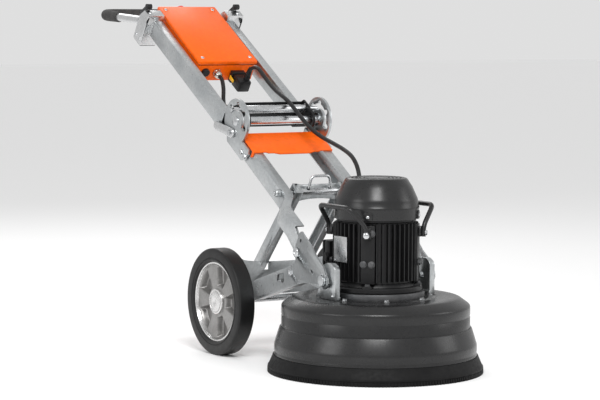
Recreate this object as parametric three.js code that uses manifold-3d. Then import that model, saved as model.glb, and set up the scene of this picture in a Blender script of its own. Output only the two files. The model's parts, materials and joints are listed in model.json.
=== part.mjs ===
// Walk-behind planetary floor grinder: a three-disc grinding head under a round shroud, a vertical
// electric motor, a two-wheel chassis and a folding handle frame that carries the control box.
// Millimetres. +Z up, -Y towards the grinding head, +Y towards the operator, X across the machine.
// The head's spindle axis stands at x = 0, y = 0 until the finished group is centred on its own box.

import * as THREE from "three";
import { mergeVertices } from "three/addons/utils/BufferGeometryUtils.js";
import Module from "manifold-3d";

const wasm = await Module();
wasm.setup();

// ---- driving dimensions ----

const GAP = 0.3; // between pieces that touch
const RUN = 0.6; // radial room round a faceted pin that turns or slides
const ROUND = 32; // facets on a large round piece
const PLAIN = 24; // facets on a large hidden piece
const FINE = 12; // facets on a shaft, tube or hole

const SHROUD = {
  skirtRadius: 290, skirtTopRadius: 276, skirtTop: 46, skirtWall: 5,
  ringRadius: 272, ringTop: 78, flareTop: 122,
  bodyRadius: 253.4, bodyBottom: 96, shoulder: 178, top: 203, topRadius: 224, wall: 3,
};

const DRIVE = {
  collarRadius: 131, collarTop: 220, collarNeck: 127, shaftBore: 46,
  casingRadius: 238, casingTop: 132, wall: 7.5, gearTop: 112, gearBottom: 86,
  module: 8, sunTeeth: 18, ringTeeth: 54, toothAddendum: 6.2, toothDedendum: 7.8, toothHalf: 4.9,
  planets: 3, carrierRadius: 226, carrierTop: 82, carrierThick: 22,
  spindleRadius: 22, discRadius: 111, discTop: 26, discPlate: 12, segments: 6,
};

const MOTOR = {
  finRadius: 112.8, coreRadius: 101, fins: 32, base: 246, top: 412, flangeRadius: 124, flangeThick: 14,
  boreRadius: 84, bottomWall: 10, padWidth: 44, padRadius: 116, padTop: 412, padBottom: 246,
  coverRadius: 111, coverShoulder: 462, coverTop: 521, coverTopRadius: 80, coverWall: 2.5,
  beadHeight: 447, shaftRadius: 19, rotorRadius: 80, rotorBottom: 268, rotorTop: 392, fanRadius: 92,
  fanBase: 424, fanTop: 450, boxWidth: 120, boxCentre: -15, boxBack: 152, boxBottom: 258, boxTop: 345,
};

const LIFT = { rod: 6.5, sides: 8, cornerSteps: 3, gripX: 134, gripZ: 448, halfLength: 72, boltZ: 380,
  footRadius: 122, corner: 12 };
const FORK = { x: 144, thick: 16, front: -46, back: 26, top: 300, pinY: -6, pinZ: 253, pinRadius: 10 };
const WHEEL = { radius: 150, width: 51, outer: 231.6, rimRadius: 111.7, axleY: 474, hubRadius: 34,
  boreRadius: 10.8, pockets: 5, web: 20, lip: 5 };
const AXLE_RADIUS = 10;

const CHASSIS = { outer: 173, thick: 5, flange: 18, panelY: 452, panelHalf: 148, panelTop: 268,
  panelBottom: 176, panelThick: 4, panelSag: 12, foldY: 120.3, foldZ: 318, foldPin: 9 };

const LOWER = { outer: 127, width: 28, depth: 50, wall: 3.5, slope: 32.7, ridgeY: 500, ridgeZ: 615.8,
  topEnd: 24, closed: 20, jog: 39, jogStart: -276, jogEnd: -352, jogSteps: 8, bottomEnd: -425 };
const HINGE = { y: 504, z: 652.5, discRadius: 64, discInner: 132, discThick: 8, tubeRadius: 12,
  slotInner: 31, slotOuter: 46, notchOuter: 55.5, notchHalf: 7.4, tailLength: 96 };
const NOTCHES = [54, 102, 153, 204]; // degrees above the rear horizontal where the lock bar can seat
const COVER = { start: -92, end: 2, thick: 3, wing: 46, tongue: 10 };

const UPPER = { outer: 137, width: 27, depth: 54, wall: 3, slope: 31.9, ridge: -20.7, start: HINGE.discRadius + 8, end: 556 };
const YOKE = { thick: 6, eye: 24, web: 58, webThick: 4, top: 29, bottom: -62, reach: 126 };
const LOCKBAR = { radius: 11.5, pin: 6, rest: 38.5, end: 143 };
const LEVER = { y: 523, z: 619, length: 84, thick: 8, bossRadius: 14, tipRadius: 12, slope: 12 };

const BOX = { start: 323, length: 300, halfWidth: 97, top: -10, depth: 70, lid: 14, wall: 3, lidEdge: 2 };
const PANEL = { estopN: -44, estopX: 0, estopRadius: 18, estopBase: 14, estopTravel: 4, switchX: -58,
  dialX: 58 };
const PLUG = { x: 36, width: 40, socket: 20, hood: 46, top: -42, bottom: -78, glandX: 44, glandRadius: 9.5,
  glandLength: 14, glandS: 272 };
const GLAND = { x: -32, n: -48, radius: 12, length: 26 };
const INLET = { x: -62, n: -86, radius: 26, front: 92, back: 160, lug: 5 };

const CLAMP = { inner: 109, outer: 164, start: UPPER.end + GAP, length: 48, top: -1, bottom: -106, bevel: 18,
  bevelDrop: 27 };
const BAR = { x: 150.5, radius: 12.5, inset: -3, drop: 23.19, reach: 319.15, pitch: 3.5, corner: 58,
  cornerSteps: 6, gripRadius: 17, gripLength: 122 };
const CAM = { s: UPPER.end + 34, n: 9.5, radius: 8.5, width: 16, arm: 50, thick: 9, slope: -56 };

const STRUT = { outer: 85, width: 20, depth: 35, wall: 3.5, footY: 493, footZ: 232, headY: 288, headZ: 464 };
const CROSS = { half: 78, ear: 5, front: -34, back: 14, low: -36, high: 24, web: 4, arch: 16 };
const LOCK = { tubeRadius: 9.5, tubeBore: 6.6, pinRadius: 5.5, pinOuter: 147, pinInner: 60, handleHalf: 35,
  handleRise: 34, handleRod: 3.75, footRadius: 6.5 };

const MOTOR_CABLE = { radius: 6, sides: 8, steps: 46 };
const MOTOR_CABLE_ROUTE = [
  [44, 748.9, 774], [44, 742, 782.8], [44, 731.6, 790.6], [44, 719.6, 795.4], [44, 706.8, 797],
  [44, 692, 794.8], [43.6, 677, 787.6], [43, 652, 770.6], [42, 622, 751.6], [41, 590, 735],
  [40.6, 560, 722.6], [40.6, 520, 706.4], [41, 482, 684], [43, 440, 655], [47, 398, 629],
  [53, 352, 609], [58, 302, 594], [60, 254, 580], [57, 208, 563], [50, 171, 538], [42, 147, 506],
  [34, 138, 470], [26, 135, 434], [21, 134, 402], [20, 134, 374],
];
const SUPPLY_CABLE = { radius: 6, sides: 8, steps: 20 };

// ---- materials ----

const finish = (color, roughness, metalness) => new THREE.MeshStandardMaterial({ color, roughness,
  metalness });
const ZINC = finish(0xb4b8b8, 0.45, 0.85);
const STEEL = finish(0xc2c5c6, 0.3, 0.95);
const DARK_STEEL = finish(0x4a4c4e, 0.35, 0.8);
const GREY_PAINT = finish(0x4b4c4d, 0.4, 0.25);
const BLACK_PAINT = finish(0x151617, 0.45, 0.2);
const ORANGE_PAINT = finish(0xf2580f, 0.35, 0.05);
const CAST_ALUMINIUM = finish(0xa9a7a4, 0.5, 0.85);
const ALUMINIUM = finish(0xcfd1d2, 0.3, 0.95);
const RUBBER = finish(0x1d1d1e, 0.75, 0);
const FOAM = finish(0x3c3b3a, 0.85, 0);
const BLACK_PLASTIC = finish(0x17181a, 0.5, 0);
const RED_PLASTIC = finish(0xc3161c, 0.4, 0);
const NICKEL = finish(0xb9b4a8, 0.3, 0.9);

// ---- geometry helpers ----

const DEGREE = Math.PI / 180;
const polar = (radius, angle) => [radius * Math.cos(angle), radius * Math.sin(angle)];

// A closed three.js geometry as a manifold-3d solid.
function toSolid(geometry) {
  const bare = geometry.clone();
  bare.deleteAttribute("normal");
  bare.deleteAttribute("uv");
  const merged = mergeVertices(bare, 1e-4);
  return new wasm.Manifold(new wasm.Mesh({
    numProp: 3,
    vertProperties: new Float32Array(merged.attributes.position.array),
    triVerts: new Uint32Array(merged.index.array),
  }));
}

// A manifold-3d solid as a three.js geometry.
function toGeometry(solid) {
  const mesh = solid.getMesh();
  const geometry = new THREE.BufferGeometry();
  geometry.setAttribute("position", new THREE.BufferAttribute(new Float32Array(mesh.vertProperties), 3));
  geometry.setIndex(new THREE.BufferAttribute(new Uint32Array(mesh.triVerts), 1));
  geometry.computeVertexNormals();
  return geometry;
}

// Radius of a faceted hole whose flats clear a pin that turns in it.
const clearHole = (radius, sides = FINE) => (radius + RUN) / Math.cos(Math.PI / sides);

const join = (...parts) => toGeometry(parts.map(toSolid).reduce((all, one) => all.add(one)));
const cut = (body, ...tools) => toGeometry(tools.map(toSolid).reduce((all, one) => all.subtract(one),
  toSolid(body)));

const mirrored = (geometry) => toGeometry(toSolid(geometry).mirror([1, 0, 0]));

// A flat outline from a list of points, with optional holes given as lists of points.
function outline(points, holes = []) {
  const shape = new THREE.Shape(points.map(([u, v]) => new THREE.Vector2(u, v)));
  for (const hole of holes) shape.holes.push(new THREE.Path(hole.map(([u, v]) => new THREE.Vector2(u, v))));
  return shape;
}

const extrude = (shape, depth) => new THREE.ExtrudeGeometry(shape, { depth, bevelEnabled: false });

// Points of a regular polygon that stands for a circle.
function ringPoints(radius, sides, centre = [0, 0], phase = 0) {
  return Array.from({ length: sides }, (_, i) => {
    const [u, v] = polar(radius, phase + (i * 2 * Math.PI) / sides);
    return [u + centre[0], v + centre[1]];
  });
}

// Points of an arc, both ends included.
function arcPoints(radius, from, to, steps, centre = [0, 0]) {
  return Array.from({ length: steps + 1 }, (_, i) => {
    const [u, v] = polar(radius, from + ((to - from) * i) / steps);
    return [u + centre[0], v + centre[1]];
  });
}

// A flat outline in the (y, z) plane, made solid from x = low to x = high.
function acrossX(shape, low, high) {
  const axes = new THREE.Matrix4().makeBasis(
    new THREE.Vector3(0, 1, 0), new THREE.Vector3(0, 0, 1), new THREE.Vector3(1, 0, 0));
  return extrude(shape, high - low).applyMatrix4(axes).translate(low, 0, 0);
}

// A flat outline in the (x, y) plane, made solid from z = low to z = high.
const alongZ = (shape, low, high) => extrude(shape, high - low).translate(0, 0, low);

// A flat outline in the (x, z) plane, made solid from y = low to y = high.
function alongY(shape, low, high) {
  const axes = new THREE.Matrix4().makeBasis(
    new THREE.Vector3(1, 0, 0), new THREE.Vector3(0, 0, 1), new THREE.Vector3(0, -1, 0));
  return extrude(shape, high - low).applyMatrix4(axes).translate(0, high, 0);
}

const box = (x0, x1, y0, y1, z0, z1) =>
  new THREE.BoxGeometry(x1 - x0, y1 - y0, z1 - z0).translate((x0 + x1) / 2, (y0 + y1) / 2, (z0 + z1) / 2);

const rodZ = (radius, low, high, at = [0, 0], sides = FINE) =>
  alongZ(outline(ringPoints(radius, sides, at)), low, high);
const rodX = (radius, low, high, at = [0, 0], sides = FINE) =>
  acrossX(outline(ringPoints(radius, sides, at)), low, high);
const rodY = (radius, low, high, at = [0, 0], sides = FINE) =>
  alongY(outline(ringPoints(radius, sides, at)), low, high);

// A solid of revolution about Z. The profile is [radius, height] and runs with the metal on its left.
function turned(profile, sides = ROUND) {
  const closed = profile[0][0] === 0 ? profile : [...profile, profile[0]];
  return new THREE.LatheGeometry(closed.map(([r, h]) => new THREE.Vector2(r, h)), sides).rotateX(Math.PI / 2);
}

// A solid of revolution about X. The profile is [radius, distance along X].
const turnedX = (profile, sides = ROUND) => turned(profile, sides).rotateY(Math.PI / 2);

// A round rod or cord along a smooth line through the points.
function rodAlong(points, radius, sides, steps, tension = 0.5) {
  const curve = new THREE.CatmullRomCurve3(points.map((p) => new THREE.Vector3(...p)), false,
    "centripetal", tension);
  return sweep(curve, radius, sides, steps);
}

function sweep(curve, radius, sides, steps) {
  const section = outline(ringPoints(radius, sides));
  return new THREE.ExtrudeGeometry(section, { extrudePath: curve, steps, bevelEnabled: false });
}

// A path through a list of points, with one sweep step from each point to the next.
class Polyline extends THREE.Curve {
  constructor(points) {
    super();
    this.points = points;
  }

  getPointAt(u) {
    return this.points[Math.round(u * (this.points.length - 1))].clone();
  }

  getTangentAt(u) {
    const last = this.points.length - 1;
    const i = Math.round(u * last);
    const into = this.points[i].clone().sub(this.points[Math.max(i - 1, 0)]).normalize();
    const out = this.points[Math.min(i + 1, last)].clone().sub(this.points[i]).normalize();
    return into.add(out).normalize();
  }
}

// A rod of straight runs joined by round corners.
function bentRod(corners, radius, corner, sides, cornerSteps) {
  const at = corners.map((p) => new THREE.Vector3(...p));
  const points = [at[0]];
  for (let i = 1; i < at.length - 1; i++) {
    const before = at[i].clone().lerp(at[i - 1], corner / at[i].distanceTo(at[i - 1]));
    const after = at[i].clone().lerp(at[i + 1], corner / at[i].distanceTo(at[i + 1]));
    points.push(...new THREE.QuadraticBezierCurve3(before, at[i], after).getPoints(cornerSteps));
  }
  points.push(at[at.length - 1]);
  return sweep(new Polyline(points), radius, sides, points.length - 1);
}

const machine = new THREE.Group();

// Adds one named piece to a group. side -1 mirrors the right-hand shape to the left.
function piece(parent, name, geometry, material, side = 1) {
  const mesh = new THREE.Mesh(geometry, material);
  mesh.name = name;
  mesh.scale.x = side;
  parent.add(mesh);
  return mesh;
}

const SIDES = [["left", -1], ["right", 1]];

// A group whose local Y runs along a sloping frame and whose local Z is that frame's upward normal.
function slopingGroup(y, z, slope) {
  const group = new THREE.Group();
  group.position.set(0, y, z);
  group.rotation.x = slope * DEGREE;
  machine.add(group);
  return group;
}

// ---- shroud ----

function addShroud() {
  const s = SHROUD;
  const step = s.ringRadius - s.wall;
  const collarHole = clearHole(DRIVE.collarRadius, ROUND);
  piece(machine, "shroud_body", turned([
    [s.bodyRadius - s.wall, s.bodyBottom], [s.bodyRadius, s.bodyBottom], [s.bodyRadius, s.shoulder],
    [s.topRadius, s.top], [collarHole, s.top], [collarHole, s.top - s.wall],
    [s.topRadius - 1.3, s.top - s.wall], [s.bodyRadius - s.wall, s.shoulder - 1.3],
  ]), GREY_PAINT);
  piece(machine, "shroud_ring", turned([
    [step, s.skirtTop + GAP], [s.ringRadius, s.skirtTop + GAP], [s.ringRadius, s.ringTop],
    [s.bodyRadius + s.wall + RUN, s.flareTop], [s.bodyRadius + RUN, s.flareTop], [step, s.ringTop - 1],
  ]), GREY_PAINT);
  piece(machine, "skirt", turned([
    [s.skirtRadius - s.skirtWall, 0], [s.skirtRadius, 0], [s.skirtRadius, 12], [s.skirtTopRadius, s.skirtTop],
    [s.skirtTopRadius - 2 * s.skirtWall, s.skirtTop], [s.skirtRadius - s.skirtWall - 1, 12],
  ]), RUBBER);
}

// ---- planetary drive ----

// Outline of a gear. Each tooth has a root and a tip on both flanks; inside = true makes a ring gear's bore.
function gearPoints(teeth, inside, phase) {
  const d = DRIVE;
  const pitch = (d.module * teeth) / 2;
  const sign = inside ? -1 : 1;
  const slant = Math.tan(20 * DEGREE);
  const tip = pitch + sign * d.toothAddendum;
  const root = pitch - sign * d.toothDedendum;
  const tipHalf = (d.toothHalf - slant * d.toothAddendum) / tip;
  const rootHalf = (d.toothHalf + slant * d.toothDedendum) / root;
  const points = [];
  for (let i = 0; i < teeth; i++) {
    const middle = phase + (i * 2 * Math.PI) / teeth;
    points.push(polar(root, middle - rootHalf), polar(tip, middle - tipHalf),
      polar(tip, middle + tipHalf), polar(root, middle + rootHalf));
  }
  return points;
}

function addDrive() {
  const d = DRIVE;
  const sunRadius = (d.module * d.sunTeeth) / 2;
  const planetTeeth = (d.ringTeeth - d.sunTeeth) / 2;
  const planetOrbit = sunRadius + (d.module * planetTeeth) / 2;
  const ringOuter = d.casingRadius - d.wall - RUN;
  piece(machine, "drive_casing", turned([
    [d.casingRadius - d.wall, d.gearBottom], [d.casingRadius, d.gearBottom],
      [d.casingRadius, d.casingTop - 20],
    [d.casingRadius - 22, d.casingTop], [d.collarNeck, d.casingTop + 30], [d.collarNeck, SHROUD.top - 8],
    [d.collarRadius, SHROUD.top - 4], [d.collarRadius, d.collarTop - 4], [d.collarRadius - 5, d.collarTop],
    [d.shaftBore, d.collarTop], [d.shaftBore, d.collarTop - 30], [d.collarNeck - 18, d.casingTop + 24],
    [d.collarNeck - 18, d.casingTop + 2], [d.casingRadius - 40, d.gearTop + GAP],
    [d.casingRadius - d.wall, d.gearTop + GAP],
  ], PLAIN), DARK_STEEL);
  piece(machine, "ring_gear", alongZ(outline(ringPoints(ringOuter, PLAIN),
    [gearPoints(d.ringTeeth, true, 0)]), d.gearBottom, d.gearTop), STEEL);
  const sun = alongZ(outline(gearPoints(d.sunTeeth, false, 0)), d.gearBottom, d.gearTop);
  const shaft = turned([
    [0, d.gearBottom + 6], [MOTOR.shaftRadius, d.gearBottom + 6], [MOTOR.shaftRadius, MOTOR.rotorBottom],
    [MOTOR.rotorRadius, MOTOR.rotorBottom], [MOTOR.rotorRadius, MOTOR.rotorTop],
      [MOTOR.shaftRadius, MOTOR.rotorTop],
    [MOTOR.shaftRadius, MOTOR.fanTop + 6], [0, MOTOR.fanTop + 6],
  ], FINE);
  piece(machine, "rotor_shaft", join(sun, shaft), STEEL);
  const places = Array.from({ length: d.planets }, (_, i) => 90 * DEGREE + (i * 2 * Math.PI) / d.planets);
  const bores = places.map((a) => ringPoints(clearHole(d.spindleRadius), FINE, polar(planetOrbit, a)));
  piece(machine, "planet_carrier", alongZ(outline(ringPoints(d.carrierRadius, PLAIN),
    [ringPoints(d.shaftBore, FINE), ...bores]), d.carrierTop - d.carrierThick, d.carrierTop), STEEL);
  places.forEach((angle, i) => {
    const at = polar(planetOrbit, angle);
    const gear = alongZ(outline(gearPoints(planetTeeth, false, Math.PI / planetTeeth)), d.gearBottom,
      d.gearTop - 1);
    const spindle = rodZ(d.spindleRadius, d.discTop + 10 + GAP, d.gearBottom + 6);
    piece(machine, `planet_gear_${i + 1}`, join(gear, spindle), STEEL).position.set(at[0], at[1], 0);
    piece(machine, `grinding_disc_${i + 1}`, grindingDisc(), DARK_STEEL).position.set(at[0], at[1], 0);
  });
}

// A tool plate with a boss on top and raised abrasive segments under its rim.
function grindingDisc() {
  const d = DRIVE;
  const plateLow = d.discTop - d.discPlate;
  const plate = turned([
    [0, plateLow], [d.discRadius, plateLow], [d.discRadius, d.discTop], [34, d.discTop], [34, d.discTop + 10],
    [0, d.discTop + 10],
  ], PLAIN);
  const half = Math.PI / d.segments / 1.7;
  const pads = Array.from({ length: d.segments }, (_, i) => {
    const middle = (i * 2 * Math.PI) / d.segments;
    const rim = [...arcPoints(d.discRadius - 4, middle - half, middle + half, 2),
      ...arcPoints(d.discRadius - 44, middle + half, middle - half, 1)];
    return alongZ(outline(rim), 0, plateLow + 1);
  });
  return join(plate, ...pads);
}

// ---- motor ----

// Outline of the finned barrel, with four flat pads on its diagonals.
function finPoints() {
  const m = MOTOR;
  const pitch = (2 * Math.PI) / m.fins;
  const points = [];
  for (let i = 0; i < m.fins; i++) {
    const a = i * pitch;
    points.push(polar(m.coreRadius, a - 0.25 * pitch), polar(m.finRadius, a - 0.15 * pitch),
      polar(m.finRadius, a + 0.15 * pitch), polar(m.coreRadius, a + 0.25 * pitch));
  }
  return points;
}

function addMotor() {
  const m = MOTOR;
  const barrel = alongZ(outline(finPoints()), m.base, m.top);
  const flange = rodZ(m.flangeRadius, DRIVE.collarTop + GAP, DRIVE.collarTop + GAP + m.flangeThick,
    [0, 0], ROUND);
  const neck = rodZ(m.coreRadius + 3, DRIVE.collarTop + GAP, m.base + 1, [0, 0], ROUND);
  const pads = [45, 135, 225, 315].map((angle) =>
    box(m.coreRadius - 8, m.padRadius, -m.padWidth / 2, m.padWidth / 2, m.padBottom,
      m.padTop).rotateZ(angle * DEGREE));
  const bore = rodZ(m.boreRadius, m.base + m.bottomWall, m.top + 1, [0, 0], FINE);
  const shaftHole = rodZ(m.shaftRadius + 2, DRIVE.collarTop - 1, m.top, [0, 0], FINE);
  piece(machine, "motor_housing", cut(join(barrel, flange, neck, ...pads), bore, shaftHole), BLACK_PAINT);
  piece(machine, "fan_cover", turned([
    [m.coverRadius - m.coverWall, m.top + 1], [m.coverRadius + 2, m.top + 1],
    [m.coverRadius + 2, m.beadHeight - 8], [m.coverRadius + 4, m.beadHeight - 3],
    [m.coverRadius + 2, m.beadHeight + 2], [m.coverRadius, m.coverShoulder],
    [m.coverRadius - 9, m.coverShoulder + 20], [m.coverTopRadius, m.coverTop], [0, m.coverTop],
    [0, m.coverTop - m.coverWall], [m.coverTopRadius - 2, m.coverTop - m.coverWall],
    [m.coverRadius - 11.5, m.coverShoulder + 19], [m.coverRadius - m.coverWall, m.coverShoulder - 1],
  ]), GREY_PAINT);
  const blades = Array.from({ length: 8 }, (_, i) =>
    box(30, m.fanRadius - 2, -2, 2, m.fanBase, m.fanTop).rotateZ(i * 45 * DEGREE));
  const fanPlate = rodZ(m.fanRadius, m.fanBase - 5, m.fanBase + 1);
  const hub = rodZ(34, m.fanBase - 5, m.fanTop);
  const fanBore = rodZ(m.shaftRadius + GAP, m.fanBase - 6, m.fanTop + 1);
  piece(machine, "cooling_fan", cut(join(fanPlate, hub, ...blades), fanBore), BLACK_PLASTIC);
  const front = m.padRadius - 1.5;
  const left = m.boxCentre - m.boxWidth / 2;
  const body = box(left, left + m.boxWidth, front, m.boxBack, m.boxBottom, m.boxTop);
  const gland = rodZ(11, m.boxTop - 1, m.boxTop + 27, [20, 134]);
  piece(machine, "terminal_box", join(body, gland), BLACK_PLASTIC);
}

function addLiftHandles() {
  const l = LIFT;
  const foot = polar(l.footRadius + l.rod, 45 * DEGREE);
  for (const [name, side] of SIDES) {
    const rod = bentRod([
      [foot[0], -foot[1], l.boltZ - 14], [foot[0], -foot[1], l.boltZ + 14], [l.gripX, -l.halfLength, l.gripZ],
      [l.gripX, l.halfLength, l.gripZ], [foot[0], foot[1], l.boltZ + 14], [foot[0], foot[1], l.boltZ - 14],
    ], l.rod, l.corner, l.sides, l.cornerSteps);
    piece(machine, `lift_handle_${name}`, rod, GREY_PAINT, side);
  }
}

// ---- forks, wheels and chassis ----

function addForks() {
  const f = FORK;
  const top = f.top - 16;
  const plate = outline([
    [f.front, SHROUD.top + GAP], [f.back, SHROUD.top + GAP], [f.back, top - 14], [f.back - 20, top + 12],
    [f.back - 34, f.top], [f.front + 20, f.top], [f.front + 5, top + 8], [f.front, top],
  ]);
  for (const [name, side] of SIDES) {
    const upright = acrossX(plate, f.x, f.x + f.thick);
    const foot = box(f.x - 2, f.x + f.thick, f.front, f.back, SHROUD.top + GAP, SHROUD.top + 10);
    const shank = rodX(f.pinRadius, f.x - 10, CHASSIS.outer + 3, [f.pinY, f.pinZ]);
    const pinHead = rodX(f.pinRadius + 5, CHASSIS.outer + 1, CHASSIS.outer + 8, [f.pinY, f.pinZ]);
    piece(machine, `fork_${name}`, join(upright, foot, shank, pinHead), ZINC, side);
  }
}

function addWheels() {
  const w = WHEEL;
  const inner = w.outer - w.width;
  const middle = (w.outer + inner) / 2;
  for (const [name, side] of SIDES) {
    const tyre = turnedX([
      [w.rimRadius, inner + 6], [w.radius - 12, inner], [w.radius - 3, inner + 3], [w.radius, inner + 10],
      [w.radius, w.outer - 10], [w.radius - 3, w.outer - 3], [w.radius - 12, w.outer],
        [w.rimRadius, w.outer - 6],
    ]);
    piece(machine, `tyre_${name}`, tyre, RUBBER, side).position.set(0, w.axleY, w.radius);
    const rimOuter = w.rimRadius - GAP;
    const rim = turnedX([
      [w.boreRadius, inner + 8], [w.hubRadius, inner + 8], [w.hubRadius, middle - w.web / 2],
      [rimOuter - w.lip, middle - w.web / 2], [rimOuter - w.lip, inner + 7], [rimOuter, inner + 7],
      [rimOuter, w.outer - 7], [rimOuter - w.lip, w.outer - 7], [rimOuter - w.lip, middle + w.web / 2],
      [w.hubRadius, middle + w.web / 2], [w.hubRadius, w.outer - 8], [w.boreRadius, w.outer - 8],
    ]);
    const half = Math.PI / w.pockets / 2.1; // half the angle of one pocket
    const pockets = Array.from({ length: w.pockets }, (_, i) => {
      const a = (i * 2 * Math.PI) / w.pockets + 0.3;
      const shape = outline([...arcPoints(w.rimRadius - w.lip - 3, a - half, a + half, 3),
        ...arcPoints(w.hubRadius + 8, a + half * 0.8, a - half * 0.8, 1)]);
      return acrossX(shape, middle - w.web / 2 + 5, w.outer);
    });
    piece(machine, `rim_${name}`, cut(rim, ...pockets), CAST_ALUMINIUM, side).position.set(0, w.axleY,
      w.radius);
  }
  const end = w.outer - 10;
  piece(machine, "axle", rodX(AXLE_RADIUS, -end, end, [w.axleY, w.radius], FINE), STEEL);
}

// Side outline of a chassis plate: front lobe for the fork pin, upper lobe for the frame pivot, rear arm.
function chassisOutline() {
  const { axleY } = WHEEL;
  const z = WHEEL.radius;
  return [
    ...arcPoints(27, 200 * DEGREE, 285 * DEGREE, 5, [FORK.pinY, FORK.pinZ + 4]),
    [34, 233], [60, 241], [86, 239], [110, 233], [333, 167],
    ...arcPoints(30, -105 * DEGREE, 75 * DEGREE, 8, [axleY, z]),
    [351, 219], [158, 277], [140, 284], [130, 293], [133, 313], [130, 338],
    ...arcPoints(9, 30 * DEGREE, 150 * DEGREE, 4, [102, 366]),
    [56, 343], [29, 316], [-8, 291],
  ];
}

function addChassis() {
  const c = CHASSIS;
  const inner = c.outer - c.thick;
  const windowHole = arcPoints(9, 180 * DEGREE, 360 * DEGREE, 4, [196, 236]).concat([[226, 230],
    [222, 248], [190, 256]]);
  const holes = [
    ringPoints(clearHole(FORK.pinRadius), FINE, [FORK.pinY, FORK.pinZ]),
    ringPoints(AXLE_RADIUS + GAP, FINE, [WHEEL.axleY, WHEEL.radius]),
    ringPoints(5, 8, [104, 350]), ringPoints(6, 8, [155, 261]), ringPoints(5, 8, [47, 273]), windowHole,
  ];
  for (const [name, side] of SIDES) {
    const plate = acrossX(outline(chassisOutline(), holes), inner, c.outer);
    const armTop = flangeBar([158, 277], [351, 219], inner - c.flange, inner + 1, c.thick, -1);
    const armLow = flangeBar([110, 233], [333, 167], inner - c.flange, inner + 1, c.thick, 1);
    const pivot = rodX(c.foldPin, inner - 22, c.outer + 2, [c.foldY, c.foldZ]);
    const pivotHead = rodX(c.foldPin + 5, c.outer - 1, c.outer + 6, [c.foldY, c.foldZ]);
    piece(machine, `chassis_plate_${name}`, join(plate, armTop, armLow, pivot, pivotHead), ZINC, side);
  }
  const across = (z, sag) => arcPoints(1, 0, Math.PI, 12).map(([u, v]) => [u * c.panelHalf, z - sag * v]);
  const panel = alongY(outline([...across(c.panelTop, c.panelSag), ...across(c.panelBottom,
    c.panelSag).reverse()]),
    c.panelY, c.panelY + c.panelThick);
  const foot = STRUT.outer + 6;
  const brackets = [-1, 1].map((side) =>
    box(side < 0 ? -foot : foot - 4, side < 0 ? 4 - foot : foot, c.panelY, c.panelY + 62,
      c.panelBottom + 22, c.panelTop - 24));
  const ends = [-1, 1].map((side) => box(side < 0 ? -inner + GAP : c.panelHalf - 4,
    side < 0 ? 4 - c.panelHalf : inner - GAP, c.panelY - 40, c.panelY + c.panelThick,
      c.panelBottom - 4, c.panelBottom + 4));
  const notchLow = STRUT.outer - STRUT.width - 3;
  const notches = [-1, 1].map((side) => box(side < 0 ? -STRUT.outer - 3 : notchLow,
    side < 0 ? -notchLow : STRUT.outer + 3,
    c.panelY - 1, c.panelY + c.panelThick + 30, c.panelTop - 34, c.panelTop + 1));
  piece(machine, "rear_cross_panel", join(cut(panel, ...notches), ...brackets, ...ends), ZINC);
}

// A folded edge: a flat bar from one outline point to another, thickness towards the plate's middle.
function flangeBar(from, to, low, high, thick, side) {
  const along = new THREE.Vector2(to[0] - from[0], to[1] - from[1]).normalize();
  const off = [-along.y * thick * side, along.x * thick * side];
  const shape = outline([from, to, [to[0] + off[0], to[1] + off[1]], [from[0] + off[0], from[1] + off[1]]]);
  return acrossX(shape, low, high);
}

// ---- lower handle frame ----

// The bar's centre line in plan: straight, then stepping outwards to clear the head, then straight.
function lowerBar() {
  const l = LOWER;
  const bend = (edge) => Array.from({ length: l.jogSteps + 1 }, (_, i) => {
    const t = i / l.jogSteps;
    return [edge + l.jog * t * t * (3 - 2 * t), l.jogStart + (l.jogEnd - l.jogStart) * t];
  });
  const plan = (edge, top, bottom) => [[edge, top], ...bend(edge), [edge + l.jog, bottom]];
  const outer = plan(l.outer, l.topEnd, l.bottomEnd);
  const inner = plan(l.outer - l.width, l.topEnd, l.bottomEnd).reverse();
  const body = alongZ(outline([...outer, ...inner]), -l.depth, 0);
  const hollowOuter = plan(l.outer - l.wall, l.topEnd - l.closed, l.bottomEnd - 1);
  const hollowInner = plan(l.outer - l.width - 1, l.topEnd - l.closed, l.bottomEnd - 1).reverse();
  const hollow = alongZ(outline([...hollowOuter, ...hollowInner]), -l.depth + l.wall, -l.wall);
  return cut(body, hollow);
}

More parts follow.
